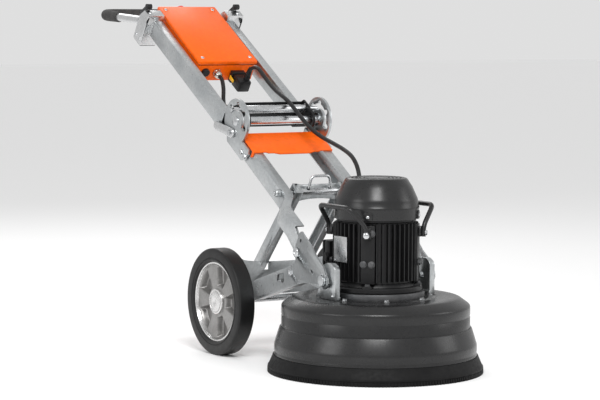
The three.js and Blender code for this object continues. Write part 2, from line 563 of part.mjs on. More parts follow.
// Disc of the fold joint, with the star-shaped slot that the lock bar's end moves in.
function hingeDisc(frame) {
  const h = HINGE;
  const centre = frame.worldToLocal(new THREE.Vector3(0, h.y, h.z));
  const at = [centre.y, centre.z];
  const tilt = -LOWER.slope * DEGREE;
  const first = NOTCHES[0] * DEGREE + tilt;
  const last = NOTCHES[NOTCHES.length - 1] * DEGREE + tilt;
  const ease = 13 * DEGREE;
  const slot = [...arcPoints(h.slotOuter, first - ease, last + ease, 18, at),
    ...arcPoints(h.slotInner, last + ease, first - ease, 14, at)];
  const tail = outline([[at[0] - 6, at[1] - 30], [at[0] - h.tailLength, -2], [at[0] - h.tailLength - 8, -12],
    [at[0] - h.tailLength + 14, -48], [at[0] + 10, -48], [at[0] + 50, at[1] - 30]]);
  const disc = acrossX(outline(ringPoints(h.discRadius, ROUND, at)), h.discInner, h.discInner + h.discThick);
  const plate = acrossX(tail, h.discInner, h.discInner + h.discThick);
  const spacer = box(LOWER.outer - 1, h.discInner + 1, at[0] - h.tailLength + 6, at[0] + 14, -44, -8);
  const slotTool = acrossX(outline(slot), h.discInner - 1, h.discInner + h.discThick + 1);
  const notches = NOTCHES.map((angle) => {
    const shape = outline([[h.slotInner + 6, -h.notchHalf], [h.notchOuter - 5, -h.notchHalf],
      [h.notchOuter, -4],
      [h.notchOuter, 4], [h.notchOuter - 5, h.notchHalf], [h.slotInner + 6, h.notchHalf]]);
    const tool = acrossX(shape, h.discInner - 1, h.discInner + h.discThick + 1);
    return tool.rotateX(angle * DEGREE + tilt).translate(0, at[0], at[1]);
  });
  return cut(join(disc, plate, spacer), slotTool, ...notches);
}

// Lug under the bar's lower end that turns on the frame pin.
function frameLug(frame) {
  const pin = frame.worldToLocal(new THREE.Vector3(0, CHASSIS.foldY, CHASSIS.foldZ));
  const at = [pin.y, pin.z];
  const high = LOWER.outer + LOWER.jog;
  const body = outline([...arcPoints(20, 150 * DEGREE, 300 * DEGREE, 7, at),
    [LOWER.bottomEnd + 60, -LOWER.depth + 8], [LOWER.bottomEnd + 60, -4], [LOWER.bottomEnd + 6, -4]]);
  return [acrossX(body, high - 9, high), rodX(clearHole(CHASSIS.foldPin), high - 30, high + 10, at)];
}

function addLowerFrame() {
  const l = LOWER;
  const frame = slopingGroup(l.ridgeY, l.ridgeZ, l.slope);
  frame.updateMatrixWorld(true);
  const lock = frame.worldToLocal(new THREE.Vector3(0, STRUT.headY, STRUT.headZ));
  const [lug, lugHole] = frameLug(frame);
  const lockHole = rodX(clearHole(LOCK.pinRadius), l.outer - l.width - 30, l.outer + 30, [lock.y, lock.z]);
  const arm = cut(join(lowerBar(), hingeDisc(frame), lug), lugHole, lockHole);
  for (const [name, side] of SIDES) piece(frame, `lower_arm_${name}`, arm, ZINC, side);
  const c = COVER;
  const half = l.outer + GAP + c.thick;
  const sheet = outline([
    [-half, c.end], [-half + 16, c.end], [-half + 22, c.end - 4], [half - 22, c.end - 4],
      [half - 16, c.end], [half, c.end],
    [half, c.start], [half - 40, c.start], [half - 46, c.start - 4], [66, c.start - 4],
      [50, c.start - c.tongue],
    [-50, c.start - c.tongue], [-66, c.start - 4], [-half + 46, c.start - 4], [-half + 40, c.start],
      [-half, c.start],
  ]);
  const top = alongZ(sheet, GAP, GAP + c.thick);
  const wing = outline([[c.end, GAP + 1], [c.end - 8, -c.wing + 14], [c.end - 20, -c.wing],
    [c.start + 46, -c.wing],
    [c.start, -14], [c.start, GAP + 1]]);
  const tailFront = frame.worldToLocal(new THREE.Vector3(0, HINGE.y, HINGE.z)).y - HINGE.tailLength - 8;
  const clear = box(l.outer - 10, half + 10, tailFront - 2, c.end + 10, -c.wing - 10, -1);
  const wingRight = cut(acrossX(wing, half - c.thick, half), clear);
  piece(frame, "cross_cover", join(top, wingRight, mirrored(wingRight)), ORANGE_PAINT);
  const end = HINGE.discInner - GAP;
  piece(machine, "pivot_tube", rodX(HINGE.tubeRadius, -end, end, [HINGE.y, HINGE.z]), STEEL);
}

function addReleaseLever() {
  const v = LEVER;
  const outer = HINGE.discInner + HINGE.discThick + GAP;
  const arm = outline([...arcPoints(v.bossRadius, 80 * DEGREE, 280 * DEGREE, 8),
    ...arcPoints(v.tipRadius, -80 * DEGREE, 80 * DEGREE, 6, [v.length, 0])]);
  const lever = acrossX(arm, -outer - v.thick, -outer).rotateX(v.slope * DEGREE);
  piece(machine, "release_lever", lever, ALUMINIUM).position.set(0, v.y, v.z);
}

// ---- strut frame with the spring lock ----

// One channel-section strut, from its foot up to the lock tube's axis.
function strutChannel() {
  const s = STRUT;
  const slope = Math.atan2(s.headZ - s.footZ, s.headY - s.footY) / DEGREE;
  const length = Math.hypot(s.headY - s.footY, s.headZ - s.footZ);
  return cut(box(s.outer - s.width, s.outer, -length - 12, 16, -s.depth / 2, s.depth / 2),
    box(s.outer - s.width - 1, s.outer - s.wall, -length - 13, -24, -s.depth / 2 + s.wall,
      s.depth / 2 - s.wall))
    .rotateX(slope * DEGREE);
}

function addStrutFrame() {
  const s = STRUT;
  const c = CROSS;
  const head = slopingGroup(s.headY, s.headZ, 0);
  const ears = [-1, 1].map((side) => {
    const at = side * (c.half - c.ear / 2);
    return box(at - c.ear / 2, at + c.ear / 2, -16, c.back, -18, c.high);
  });
  const arch = (z, rise) => arcPoints(1, 0, Math.PI, 10).map(([u, v]) => [u * c.half, z + rise * v]);
  const web = alongY(outline([[-c.half, c.high - 4], [c.half, c.high - 4], ...arch(c.low, c.arch)].reverse()),
    c.back - c.web, c.back);
  const bore = rodX(LOCK.tubeRadius + GAP, -s.outer - 5, s.outer + 5);
  const strut = strutChannel();
  piece(head, "strut_frame", cut(join(web, ...ears, strut, mirrored(strut)), bore), ZINC);
  const tubeEnd = c.half + 6;
  const tube = cut(rodX(LOCK.tubeRadius, -tubeEnd, tubeEnd), rodX(LOCK.tubeBore, -tubeEnd - 1, tubeEnd + 1));
  piece(head, "lock_tube", tube, STEEL);
  const rise = LOCK.handleRise;
  const footZ = LOCK.tubeRadius + GAP;
  const grip = bentRod([
    [-LOCK.handleHalf, -4, footZ + 2], [-LOCK.handleHalf + 6, -10, footZ + rise],
    [LOCK.handleHalf - 6, -10, footZ + rise], [LOCK.handleHalf, -4, footZ + 2],
  ], LOCK.handleRod, 11, 6, 3);
  const feet = [-1, 1].map((side) => rodZ(LOCK.footRadius, footZ, footZ + 7,
    [side * LOCK.handleHalf, -4], 8));
  piece(head, "lock_handle", join(grip, ...feet), STEEL);
  for (const [name, side] of SIDES) {
    piece(head, `lock_pin_${name}`, rodX(LOCK.pinRadius, LOCK.pinInner, LOCK.pinOuter, [0, 0], 16),
      STEEL, side);
  }
}

// ---- upper handle frame ----

function addUpperFrame() {
  const u = UPPER;
  const frame = slopingGroup(HINGE.y, HINGE.z, u.slope);
  const low = u.ridge - u.depth;
  const bar = cut(box(u.outer - u.width, u.outer, u.start, u.end, low, u.ridge),
    box(u.outer - u.width + u.wall, u.outer - u.wall, u.start - 1, u.end - 20, low + u.wall,
      u.ridge - u.wall));
  for (const [name, side] of SIDES) piece(frame, `upper_bar_${name}`, bar, ZINC, side);
  addYoke(frame);
  addControlBox(frame);
  addConnector(frame);
  addHandlebar(frame);
  return frame;
}

function addYoke(frame) {
  const y = YOKE;
  const cheekOuter = UPPER.outer - UPPER.width - GAP;
  const cheekInner = cheekOuter - y.thick;
  const angle = (NOTCHES[0] - UPPER.slope) * DEGREE;
  const eye = ringPoints(clearHole(HINGE.tubeRadius), FINE);
  const slotHalf = LOCKBAR.pin + RUN;
  const slotEnd = LOCKBAR.rest + 10;
  const cheek = outline([...arcPoints(y.eye, 95 * DEGREE, 265 * DEGREE, 8), [66, -72], [118, -72],
    [y.reach, -64],
    [y.reach, -26], [84, -16], [58, y.top], [30, y.top]], [eye]);
  const slot = acrossX(outline([[LOCKBAR.rest - slotHalf, -slotHalf], [slotEnd + slotHalf, -slotHalf],
    [slotEnd + slotHalf, slotHalf], [LOCKBAR.rest - slotHalf, slotHalf]]), cheekInner - 1,
      cheekOuter + 1).rotateX(angle);
  const right = cut(acrossX(cheek, cheekInner, cheekOuter), slot);
  const web = box(-cheekInner - 1, cheekInner + 1, y.web, y.web + y.webThick, y.bottom, y.top - 8);
  piece(frame, "hinge_yoke", join(right, mirrored(right), web), BLACK_PAINT);
  const seat = polar(LOCKBAR.rest, angle);
  const bar = join(rodX(LOCKBAR.radius, -cheekInner + GAP, cheekInner - GAP), rodX(LOCKBAR.pin,
    -LOCKBAR.end, LOCKBAR.end));
  piece(frame, "lock_bar", bar, STEEL).position.set(0, seat[0], seat[1]);
  const inlet = INLET;
  const body = rodY(inlet.radius, inlet.front, inlet.back, [inlet.x, inlet.n]);
  const lug = box(-cheekInner + GAP, inlet.x, inlet.front + 8, inlet.front + 30, inlet.n + 12,
    inlet.n + 12 + inlet.lug);
  const mouth = rodY(inlet.radius - 4, inlet.front - 1, inlet.front + 30, [inlet.x, inlet.n]);
  piece(frame, "power_inlet", cut(join(body, lug), mouth), BLACK_PLASTIC);
}

function addControlBox(frame) {
  const b = BOX;
  const p = PANEL;
  const lidLow = b.top - b.lid;
  const end = b.start + b.length;
  const shell = cut(box(-b.halfWidth, b.halfWidth, b.start, end, b.top - b.depth, lidLow - GAP),
    box(-b.halfWidth + b.wall, b.halfWidth - b.wall, b.start + b.wall, end - b.wall,
      b.top - b.depth + b.wall, lidLow + 1),
    rodY(clearHole(p.estopRadius - 5), end - b.wall - 1, end + 1, [p.estopX, p.estopN]));
  piece(frame, "control_box", shell, ORANGE_PAINT);
  const edge = b.lidEdge;
  const lid = cut(box(-b.halfWidth - edge, b.halfWidth + edge, b.start - edge, end + edge, lidLow, b.top),
    box(-b.halfWidth + 8, b.halfWidth - 8, b.start + 8, end - 8, lidLow - 1, b.top - 3));
  piece(frame, "box_lid", lid, ORANGE_PAINT);
  const face = end + edge + GAP;
  const collar = rodY(p.estopRadius - 5, end - b.wall - p.estopTravel, face + p.estopBase,
    [p.estopX, p.estopN]);
  const cap = rodY(p.estopRadius, face + p.estopBase - 1, face + p.estopBase + 16, [p.estopX, p.estopN]);
  piece(frame, "estop_button", join(collar, cap), RED_PLASTIC);
  const knob = (x) => {
    const disc = rodY(15, face, face + 12, [x, p.estopN]);
    return join(disc, box(x - 4, x + 4, face + 2, face + 24, p.estopN - 14, p.estopN + 14));
  };
  piece(frame, "power_switch", knob(p.switchX), BLACK_PLASTIC);
  piece(frame, "speed_dial", knob(p.dialX), BLACK_PLASTIC);
  const g = GLAND;
  const nut = rodY(g.radius + 2, b.start - 8, b.start - edge - GAP, [g.x, g.n], 12);
  const dome = rodY(g.radius, b.start - g.length, b.start - 7, [g.x, g.n]);
  piece(frame, "cable_gland", join(nut, dome), NICKEL);
}

function addConnector(frame) {
  const p = PLUG;
  const back = BOX.start - BOX.lidEdge - GAP;
  const mate = BOX.start - p.socket;
  const half = p.width / 2;
  piece(frame, "connector_socket", box(p.x - half - 3, p.x + half + 3, mate, back, p.bottom + 2,
    p.top + 2), BLACK_PLASTIC);
  const hood = box(p.x - half, p.x + half, mate - p.hood, mate - GAP, p.bottom, p.top);
  const gland = rodZ(p.glandRadius, p.top - 1, p.top + p.glandLength, [p.glandX, p.glandS - 0.01]);
  piece(frame, "connector_plug", join(hood, gland), BLACK_PLASTIC);
}

// ---- handlebar and its clamps ----

function addHandlebar(frame) {
  const k = CLAMP;
  const b = BAR;
  frame.updateMatrixWorld(true);
  const along = new THREE.Vector3(0, Math.cos(b.pitch * DEGREE), Math.sin(b.pitch * DEGREE));
  const start = frame.localToWorld(new THREE.Vector3(b.x, UPPER.end - b.inset, -b.drop));
  const onArm = (y) => start.clone().addScaledVector(along, y / along.y);
  const local = (point) => frame.worldToLocal(point.clone());
  const from = local(onArm(-60));
  const to = local(onArm(160));
  const bore = sweep(new THREE.LineCurve3(from, to), b.radius + RUN, FINE, 1);
  const end = k.start + k.length;
  const side = outline([[k.start, k.bottom], [end, k.bottom], [end, k.top - k.bevelDrop],
    [end - k.bevel, k.top], [k.start, k.top]]);
  const block = cut(acrossX(side, k.inner, k.outer), bore);
  for (const [name, hand] of SIDES) {
    piece(frame, `clamp_block_${name}`, block, ALUMINIUM, hand);
    piece(frame, `clamp_lever_${name}`, camLever(), BLACK_PLASTIC, hand).position.set(0, CAM.s, CAM.n);
  }
  const corner = onArm(b.reach);
  const hoop = (first, radius) => bentRod([first, corner, corner.clone().setX(-b.x),
    first.clone().setX(-b.x)].map((p) => p.toArray()), radius, b.corner, FINE, b.cornerSteps);
  piece(machine, "handlebar", hoop(start, b.radius), ALUMINIUM);
  const sleeve = hoop(onArm(b.reach - b.gripLength), b.gripRadius);
  const inside = hoop(onArm(b.reach - b.gripLength - b.gripRadius), b.radius + RUN);
  piece(machine, "handle_grip", cut(sleeve, inside), FOAM);
}

function camLever() {
  const c = CAM;
  const low = BAR.x - c.width / 2;
  const arm = outline([[0, -c.thick / 2], [c.arm, -c.thick / 2 + 1], [c.arm, c.thick / 2 - 1],
    [0, c.thick / 2]]);
  const hub = rodX(c.radius, low, low + c.width, [0, 0], 16);
  return join(hub, acrossX(arm, low, low + c.width).rotateX(c.slope * DEGREE));
}

// ---- cables ----

function addCables(frame) {
  const c = MOTOR_CABLE;
  piece(machine, "motor_cable", rodAlong(MOTOR_CABLE_ROUTE, c.radius, c.sides, c.steps), RUBBER);
  const g = GLAND;
  const i = INLET;
  const s = BOX.start - g.length - 0.6;
  const route = [
    [g.x, s, g.n], [g.x, s - 10, g.n], [g.x - 2, s - 24, g.n - 3], [g.x - 8, s - 48, g.n - 12],
      [g.x - 18, s - 76, g.n - 25],
    [i.x + 3, s - 104, g.n - 34], [i.x, i.back + 18, i.n], [i.x, i.back + 0.6, i.n],
  ];
  const w = SUPPLY_CABLE;
  piece(frame, "supply_cable", rodAlong(route, w.radius, w.sides, w.steps), RUBBER);
}

addShroud();
addDrive();
addMotor();
addLiftHandles();
addForks();
addWheels();
addChassis();
addLowerFrame();
addReleaseLever();
addStrutFrame();
const upperFrame = addUpperFrame();
addCables(upperFrame);

// The origin is the middle of the object's box, on the floor.
machine.updateMatrixWorld(true);
const bounds = new THREE.Box3().setFromObject(machine, true);
machine.position.y = -(bounds.min.y + bounds.max.y) / 2;

export default machine;
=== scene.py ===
"""Walk-behind planetary floor grinder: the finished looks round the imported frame.

Sizes are in millimetres inside the builders, measured from the head's spindle axis on the floor, and
each mesh is set into the frame in metres at the end.
"""

import json
import logging
import math
from dataclasses import dataclass
from enum import Enum
from typing import Iterable, Sequence

import bmesh
import bpy
from mathutils import Matrix, Vector


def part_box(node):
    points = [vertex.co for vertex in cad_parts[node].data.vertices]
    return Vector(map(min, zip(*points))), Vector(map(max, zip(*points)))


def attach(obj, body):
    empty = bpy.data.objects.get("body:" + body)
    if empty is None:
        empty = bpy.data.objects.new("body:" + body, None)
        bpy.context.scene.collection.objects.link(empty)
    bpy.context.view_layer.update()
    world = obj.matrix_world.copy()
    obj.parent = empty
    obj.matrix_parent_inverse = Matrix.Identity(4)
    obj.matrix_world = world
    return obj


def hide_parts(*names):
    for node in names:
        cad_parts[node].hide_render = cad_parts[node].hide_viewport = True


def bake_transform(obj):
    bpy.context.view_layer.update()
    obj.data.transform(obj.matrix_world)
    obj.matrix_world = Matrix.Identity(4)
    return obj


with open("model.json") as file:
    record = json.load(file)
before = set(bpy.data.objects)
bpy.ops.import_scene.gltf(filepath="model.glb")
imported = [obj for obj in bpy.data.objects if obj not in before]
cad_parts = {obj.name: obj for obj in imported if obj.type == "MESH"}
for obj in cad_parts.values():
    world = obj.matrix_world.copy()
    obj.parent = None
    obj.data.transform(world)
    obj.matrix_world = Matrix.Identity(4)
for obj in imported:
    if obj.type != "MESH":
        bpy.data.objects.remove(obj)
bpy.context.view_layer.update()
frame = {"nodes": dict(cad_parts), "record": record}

logging.basicConfig(level=logging.INFO, format="%(message)s")
LOG = logging.getLogger("grinder")

Point = Sequence[float]
Profile = Sequence[tuple[float, float]]
Shape = bmesh.types.BMesh
Tree = bpy.types.NodeTree
Socket = bpy.types.NodeSocket

MM = 0.001
HANDS: tuple[tuple[str, int], ...] = (("left", -1), ("right", 1))


def node_centre(node: str) -> Vector:
    """Return the middle of a frame node's box, in metres."""
    low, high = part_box(node)
    return (Vector(low) + Vector(high)) / 2


def joint_place(name: str) -> Vector:
    """Return where a joint of the record sits, in metres."""
    joints = frame["record"]["behaviour"]["joints"]
    return Vector(next(j["pos_m"] for j in joints if j["name"] == name))


def spun(degrees: float, axis: str = "Z") -> Matrix:
    """Return a turn by that many degrees about an axis."""
    return Matrix.Rotation(math.radians(degrees), 4, axis)


def sloping(origin: Vector, degrees: float) -> Matrix:
    """Return the placement of a part whose local Y runs up a sloping frame.

    Args:
        origin: The local origin in metres.
        degrees: The slope above the floor.

    Returns:
        The matrix from local millimetres to metres in the frame.
    """
    return Matrix.Translation(origin) @ spun(degrees, "X") @ Matrix.Scale(MM, 4)


AXIS_Y = node_centre("drive_casing").y
MACHINE = sloping(Vector((0, AXIS_Y, 0)), 0)
LOWER_SLOPE = 32.7
UPPER_SLOPE = 31.9
LOWER = sloping(Vector((0, AXIS_Y + 0.5, 0.6158)), LOWER_SLOPE)
UPPER = sloping(joint_place("handle_fold"), UPPER_SLOPE)
STRUT = sloping(joint_place("strut_swing"), 0)
LEVEL_UPPER = UPPER @ spun(-UPPER_SLOPE, "X")


# ---------------------------------------------------------------- finishes


def add(tree: Tree, kind: str, inputs: dict[str | int, object], **settings: object) -> bpy.types.Node:
    """Add a node to a tree.

    Args:
        tree: The node tree.
        kind: The node's type.
        inputs: For each input, by name or number, the socket that feeds it or its constant.
        settings: The node's own properties.

    Returns:
        The new node.
    """
    made = tree.nodes.new(kind)
    for key, value in settings.items():
        setattr(made, key, value)
    for key, value in inputs.items():
        if isinstance(value, Socket):
            tree.links.new(value, made.inputs[key])
        else:
            made.inputs[key].default_value = value
    return made


class Grain(Enum):
    """How a finish's fine surface is laid out."""

    FINE = "fine"
    SPANGLE = "spangle"
    BRUSHED = "brushed"
    TURNED = "turned"
    CAST = "cast"
    CELLS = "cells"


@dataclass(frozen=True)
class Finish:
    """One surface finish, with its own colour variation, gloss variation and relief.

    The surface drifts between two colours over patches of a given size, and between two roughness
    values. Grain is the relief's pattern, with its size and depth. Coat is a clear layer, dust lies on
    the lowest part of the machine, and centre is the middle of turned rings, in metres.
    """

    name: str
    slot: str
    base: tuple[float, float, float]
    accent: tuple[float, float, float]
    patch: float = 14.0
    roughness: tuple[float, float] = (0.35, 0.5)
    metallic: float = 0.0
    grain: Grain = Grain.FINE
    grain_size: float = 900.0
    relief: float = 0.12
    coat: float = 0.0
    dust: float = 0.0
    specular: float = 0.5
    centre: tuple[float, float, float] = (0.0, 0.0, 0.0)

    def material(self) -> bpy.types.Material:
        """Return this finish's node material, made on first use."""
        found = bpy.data.materials.get(f"{self.name}_look")
        return found if found else self._build()

    def _build(self) -> bpy.types.Material:
        """Build the node tree."""
        material = bpy.data.materials.new(f"{self.name}_look")
        material.use_nodes = True
        tree = material.node_tree
        shader = tree.nodes["Principled BSDF"]
        shader.inputs["Metallic"].default_value = self.metallic
        shader.inputs["Coat Weight"].default_value = self.coat
        shader.inputs["Coat Roughness"].default_value = 0.18
        shader.inputs["Specular IOR Level"].default_value = self.specular
        where = add(tree, "ShaderNodeTexCoord", {}).outputs["Object"]
        patches = self._noise(tree, where, self.patch, 5.0, 0.62)
        blotch = self._range(tree, patches, 0.36, 0.66, 0.0, 1.0)
        colour = self._mix(tree, blotch, (*self.base, 1.0), self.accent)
        specks = self._noise(tree, where, self.patch * 11, 3.0, 0.55)
        shade = self._range(tree, specks, 0.3, 0.7, 0.90, 1.08)
        colour = add(tree, "ShaderNodeVectorMath", {0: colour, "Scale": shade},
                     operation="SCALE").outputs["Vector"]
        if self.dust > 0:
            colour = self._dusted(tree, where, colour, patches)
        tree.links.new(colour, shader.inputs["Base Color"])
        fine = self._noise(tree, where, self.patch * 5, 6.0, 0.6)
        tree.links.new(self._range(tree, fine, 0.3, 0.7, *self.roughness), shader.inputs["Roughness"])
        bump = add(tree, "ShaderNodeBump", {"Strength": self.relief, "Distance": 0.0006,
                                            "Height": self._grain(tree, where)})
        tree.links.new(bump.outputs["Normal"], shader.inputs["Normal"])
        return material

    def _grain(self, tree: Tree, where: Socket) -> Socket:
        """Return the height signal of the fine surface."""
        if self.grain in (Grain.SPANGLE, Grain.CELLS):
            feature = "SMOOTH_F1" if self.grain is Grain.CELLS else "F1"
            cells = add(tree, "ShaderNodeTexVoronoi", {"Scale": self.grain_size, "Vector": where},
                        feature=feature)
            return cells.outputs["Distance"]
        if self.grain is Grain.BRUSHED:
            stretch = add(tree, "ShaderNodeMapping", {"Scale": (0.03, 1.0, 1.0), "Vector": where})
            return self._noise(tree, stretch.outputs["Vector"], self.grain_size, 4.0, 0.6)
        if self.grain is Grain.TURNED:
            offset = add(tree, "ShaderNodeMapping", {"Location": [-c for c in self.centre], "Vector": where})
            flat = add(tree, "ShaderNodeVectorMath", {0: offset.outputs["Vector"], 1: (0.0, 1.0, 1.0)},
                       operation="MULTIPLY")
            reach = add(tree, "ShaderNodeVectorMath", {0: flat.outputs["Vector"]}, operation="LENGTH")
            rings = add(tree, "ShaderNodeMath", {0: reach.outputs["Value"], 1: self.grain_size},
                        operation="MULTIPLY")
            return add(tree, "ShaderNodeMath", {0: rings.outputs[0]}, operation="SINE").outputs[0]
        detail = 8.0 if self.grain is Grain.CAST else 3.0
        return self._noise(tree, where, self.grain_size, detail, 0.7)

    def _dusted(self, tree: Tree, where: Socket, colour: Socket, patches: Socket) -> Socket:
        """Lay pale dust over the lowest part of the machine."""
        split = add(tree, "ShaderNodeSeparateXYZ", {0: where})
        low = self._range(tree, split.outputs["Z"], 0.0, 0.12, self.dust, 0.0)
        amount = add(tree, "ShaderNodeMath", {0: low, 1: patches}, operation="MULTIPLY")
        return self._mix(tree, amount.outputs[0], colour, (0.42, 0.40, 0.37))

    @staticmethod
    def _noise(tree: Tree, where: Socket, scale: float, detail: float, rough: float) -> Socket:
        """Return a noise signal of one size."""
        inputs = {"Scale": scale, "Detail": detail, "Roughness": rough, "Vector": where}
        return add(tree, "ShaderNodeTexNoise", inputs).outputs["Fac"]

    @staticmethod
    def _range(tree: Tree, value: Socket, low: float, high: float, out_low: float, out_high: float) -> Socket:
        """Return a signal stretched from one range to another."""
        inputs = {"From Min": low, "From Max": high, "To Min": out_low, "To Max": out_high, "Value": value}
        return add(tree, "ShaderNodeMapRange", inputs).outputs["Result"]

    @staticmethod
    def _mix(tree: Tree, factor: Socket, first: Socket | Point, second: Point) -> Socket:
        """Return two colours mixed by a signal."""
        return add(tree, "ShaderNodeMix", {0: factor, 6: first, 7: (*second, 1.0)},
                   data_type="RGBA").outputs[2]


WHEEL_CENTRE = tuple(joint_place("wheel_left_spin"))
ZINC = Finish("zinc_plate", "zinc", (0.43, 0.45, 0.46), (0.53, 0.545, 0.55), 12, (0.26, 0.38), 0.95,
              Grain.SPANGLE, 420, 0.05)
STEEL = Finish("bright_steel", "steel", (0.52, 0.53, 0.54), (0.60, 0.61, 0.62), 14, (0.2, 0.3), 1.0,
               Grain.BRUSHED, 1400, 0.05)
DARK_STEEL = Finish("dark_steel", "dark_steel", (0.06, 0.062, 0.065), (0.11, 0.11, 0.112), 20, (0.35, 0.6),
                    0.8, Grain.CAST, 500, 0.25, dust=0.7)
ABRASIVE = Finish("abrasive_segment", "dark_steel", (0.17, 0.15, 0.12), (0.28, 0.25, 0.20), 90, (0.7, 0.9),
                  0.3, Grain.CAST, 2200, 0.8, dust=0.8)
GREY_PAINT = Finish("grey_paint", "grey_paint", (0.012, 0.012, 0.0124), (0.015, 0.015, 0.0155), 9,
                    (0.25, 0.32), 0.0, Grain.FINE, 1300, 0.04, dust=0.01, specular=0.36)
BLACK_PAINT = Finish("black_paint", "black_paint", (0.005, 0.005, 0.0055), (0.009, 0.009, 0.0095), 16,
                     (0.32, 0.5), 0.05, Grain.CAST, 900, 0.12, specular=0.3)
ORANGE = Finish("orange_powder_coat", "orange_paint", (0.86, 0.112, 0.0), (0.89, 0.122, 0.0), 8, (0.34, 0.42),
                0.0, Grain.FINE, 1500, 0.06, specular=0.3)
CAST_RIM = Finish("cast_rim", "cast_aluminium", (0.25, 0.245, 0.24), (0.32, 0.315, 0.31), 20, (0.3, 0.44),
                  0.85, Grain.CAST, 700, 0.18, dust=0.1)
TURNED_RIM = Finish("turned_rim_lip", "cast_aluminium", (0.66, 0.655, 0.65), (0.76, 0.755, 0.75), 24,
                    (0.16, 0.28), 1.0, Grain.TURNED, 5200, 0.16, centre=WHEEL_CENTRE)
ALUMINIUM = Finish("machined_aluminium", "aluminium", (0.58, 0.585, 0.59), (0.64, 0.645, 0.65), 12,
                   (0.24, 0.34), 1.0, Grain.BRUSHED, 1200, 0.05)
TYRE = Finish("tyre_rubber", "tyre_rubber", (0.005, 0.005, 0.0052), (0.009, 0.009, 0.0092), 18, (0.36, 0.5),
              0.0, Grain.CAST, 1100, 0.25, dust=0.05, specular=0.32)
SKIRT = Finish("skirt_rubber", "rubber", (0.003, 0.003, 0.0032), (0.006, 0.006, 0.0063), 24, (0.45, 0.65),
               0.0, Grain.CAST, 900, 0.3, dust=0.005, specular=0.16)
CABLE = Finish("cable_jacket", "rubber", (0.006, 0.006, 0.0065), (0.010, 0.010, 0.0105), 40, (0.34, 0.48),
               0.0, Grain.FINE, 2600, 0.12, specular=0.4)
FOAM = Finish("grip_foam", "foam", (0.030, 0.029, 0.029), (0.055, 0.053, 0.052), 60, (0.8, 0.95), 0.0,
              Grain.CELLS, 900, 0.55)
BLACK_PLASTIC = Finish("black_plastic", "black_plastic", (0.006, 0.006, 0.0065), (0.010, 0.010, 0.0105), 30,
                       (0.32, 0.46), 0.0, Grain.CAST, 1900, 0.15, specular=0.35)
RED_PLASTIC = Finish("red_plastic", "red_plastic", (0.56, 0.008, 0.010), (0.63, 0.014, 0.014), 20, (0.2, 0.3),
                     0.0, Grain.FINE, 1500, 0.05, coat=0.4)
YELLOW_PLASTIC = Finish("yellow_plastic", "orange_paint", (0.80, 0.42, 0.010), (0.86, 0.47, 0.015), 20,
                        (0.3, 0.42), 0.0, Grain.FINE, 1500, 0.06)
PALE_MARK = Finish("pale_mark", "aluminium", (0.70, 0.70, 0.69), (0.76, 0.76, 0.75), 20, (0.4, 0.5), 0.0,
                   Grain.FINE, 900, 0.03)
NICKEL = Finish("nickel_brass", "nickel", (0.50, 0.485, 0.44), (0.60, 0.58, 0.53), 40, (0.18, 0.3), 1.0,
                Grain.FINE, 1400, 0.05)


# ---------------------------------------------------------------- mesh making


def linked(name: str, data: bpy.types.ID) -> bpy.types.Object:
    """Return a new object in the scene that holds the given data."""
    made = bpy.data.objects.new(name, data)
    bpy.context.scene.collection.objects.link(made)
    return made


def as_data(name: str, mesh: Shape) -> bpy.types.Mesh:
    """Turn a working mesh into mesh data. The working mesh is used up."""
    data = bpy.data.meshes.new(name)
    mesh.to_mesh(data)
    mesh.free()
    return data


def lathe(profile: Profile, sides: int = 96) -> Shape:
    """Return a closed solid of revolution about Z.

    Args:
        profile: Closed or axis-to-axis line of (radius, height) points in millimetres.
        sides: Facets round the axis.

    Returns:
        The mesh in local millimetres.
    """
    mesh = bmesh.new()
    rings = []
    for radius, height in profile:
        if radius < 1e-6:
            rings.append([mesh.verts.new((0, 0, height))])
            continue
        angles = (2 * math.pi * i / sides for i in range(sides))
        rings.append([mesh.verts.new((radius * math.cos(a), radius * math.sin(a), height)) for a in angles])
    pairs = list(zip(rings, rings[1:]))
    if len(rings[0]) > 1:
        pairs.append((rings[-1], rings[0]))
    for low, high in pairs:
        for i in range(sides):
            j = (i + 1) % sides
            corners = [low[i % len(low)], low[j % len(low)], high[j % len(high)], high[i % len(high)]]
            unique = list(dict.fromkeys(corners))
            if len(unique) > 2:
                mesh.faces.new(unique)
    bmesh.ops.recalc_face_normals(mesh, faces=mesh.faces)
    return mesh


def slab(points: Sequence[tuple[float, float]], low: float, high: float, axis: str = "X") -> Shape:
    """Return a flat outline made solid along an axis.

    Args:
        points: The outline, in (y, z) for X, (x, z) for Y and (x, y) for Z.
        low: Where the solid starts along the axis.
        high: Where it ends.
        axis: X, Y or Z.

    Returns:
        The mesh in local millimetres.
    """
    order = {"X": lambda u, v, w: (w, u, v), "Y": lambda u, v, w: (u, w, v),
             "Z": lambda u, v, w: (u, v, w)}[axis]
    mesh = bmesh.new()
    bottom = [mesh.verts.new(order(u, v, low)) for u, v in points]
    top = [mesh.verts.new(order(u, v, high)) for u, v in points]
    mesh.faces.new(bottom)
    mesh.faces.new(top)
    for i in range(len(points)):
        j = (i + 1) % len(points)
        mesh.faces.new((bottom[i], bottom[j], top[j], top[i]))
    bmesh.ops.recalc_face_normals(mesh, faces=mesh.faces)
    return mesh


def brick(low: Point, high: Point) -> Shape:
    """Return a box between two corners in local millimetres."""
    corners = [(low[0], low[1]), (high[0], low[1]), (high[0], high[1]), (low[0], high[1])]
    return slab(corners, low[2], high[2], "Z")


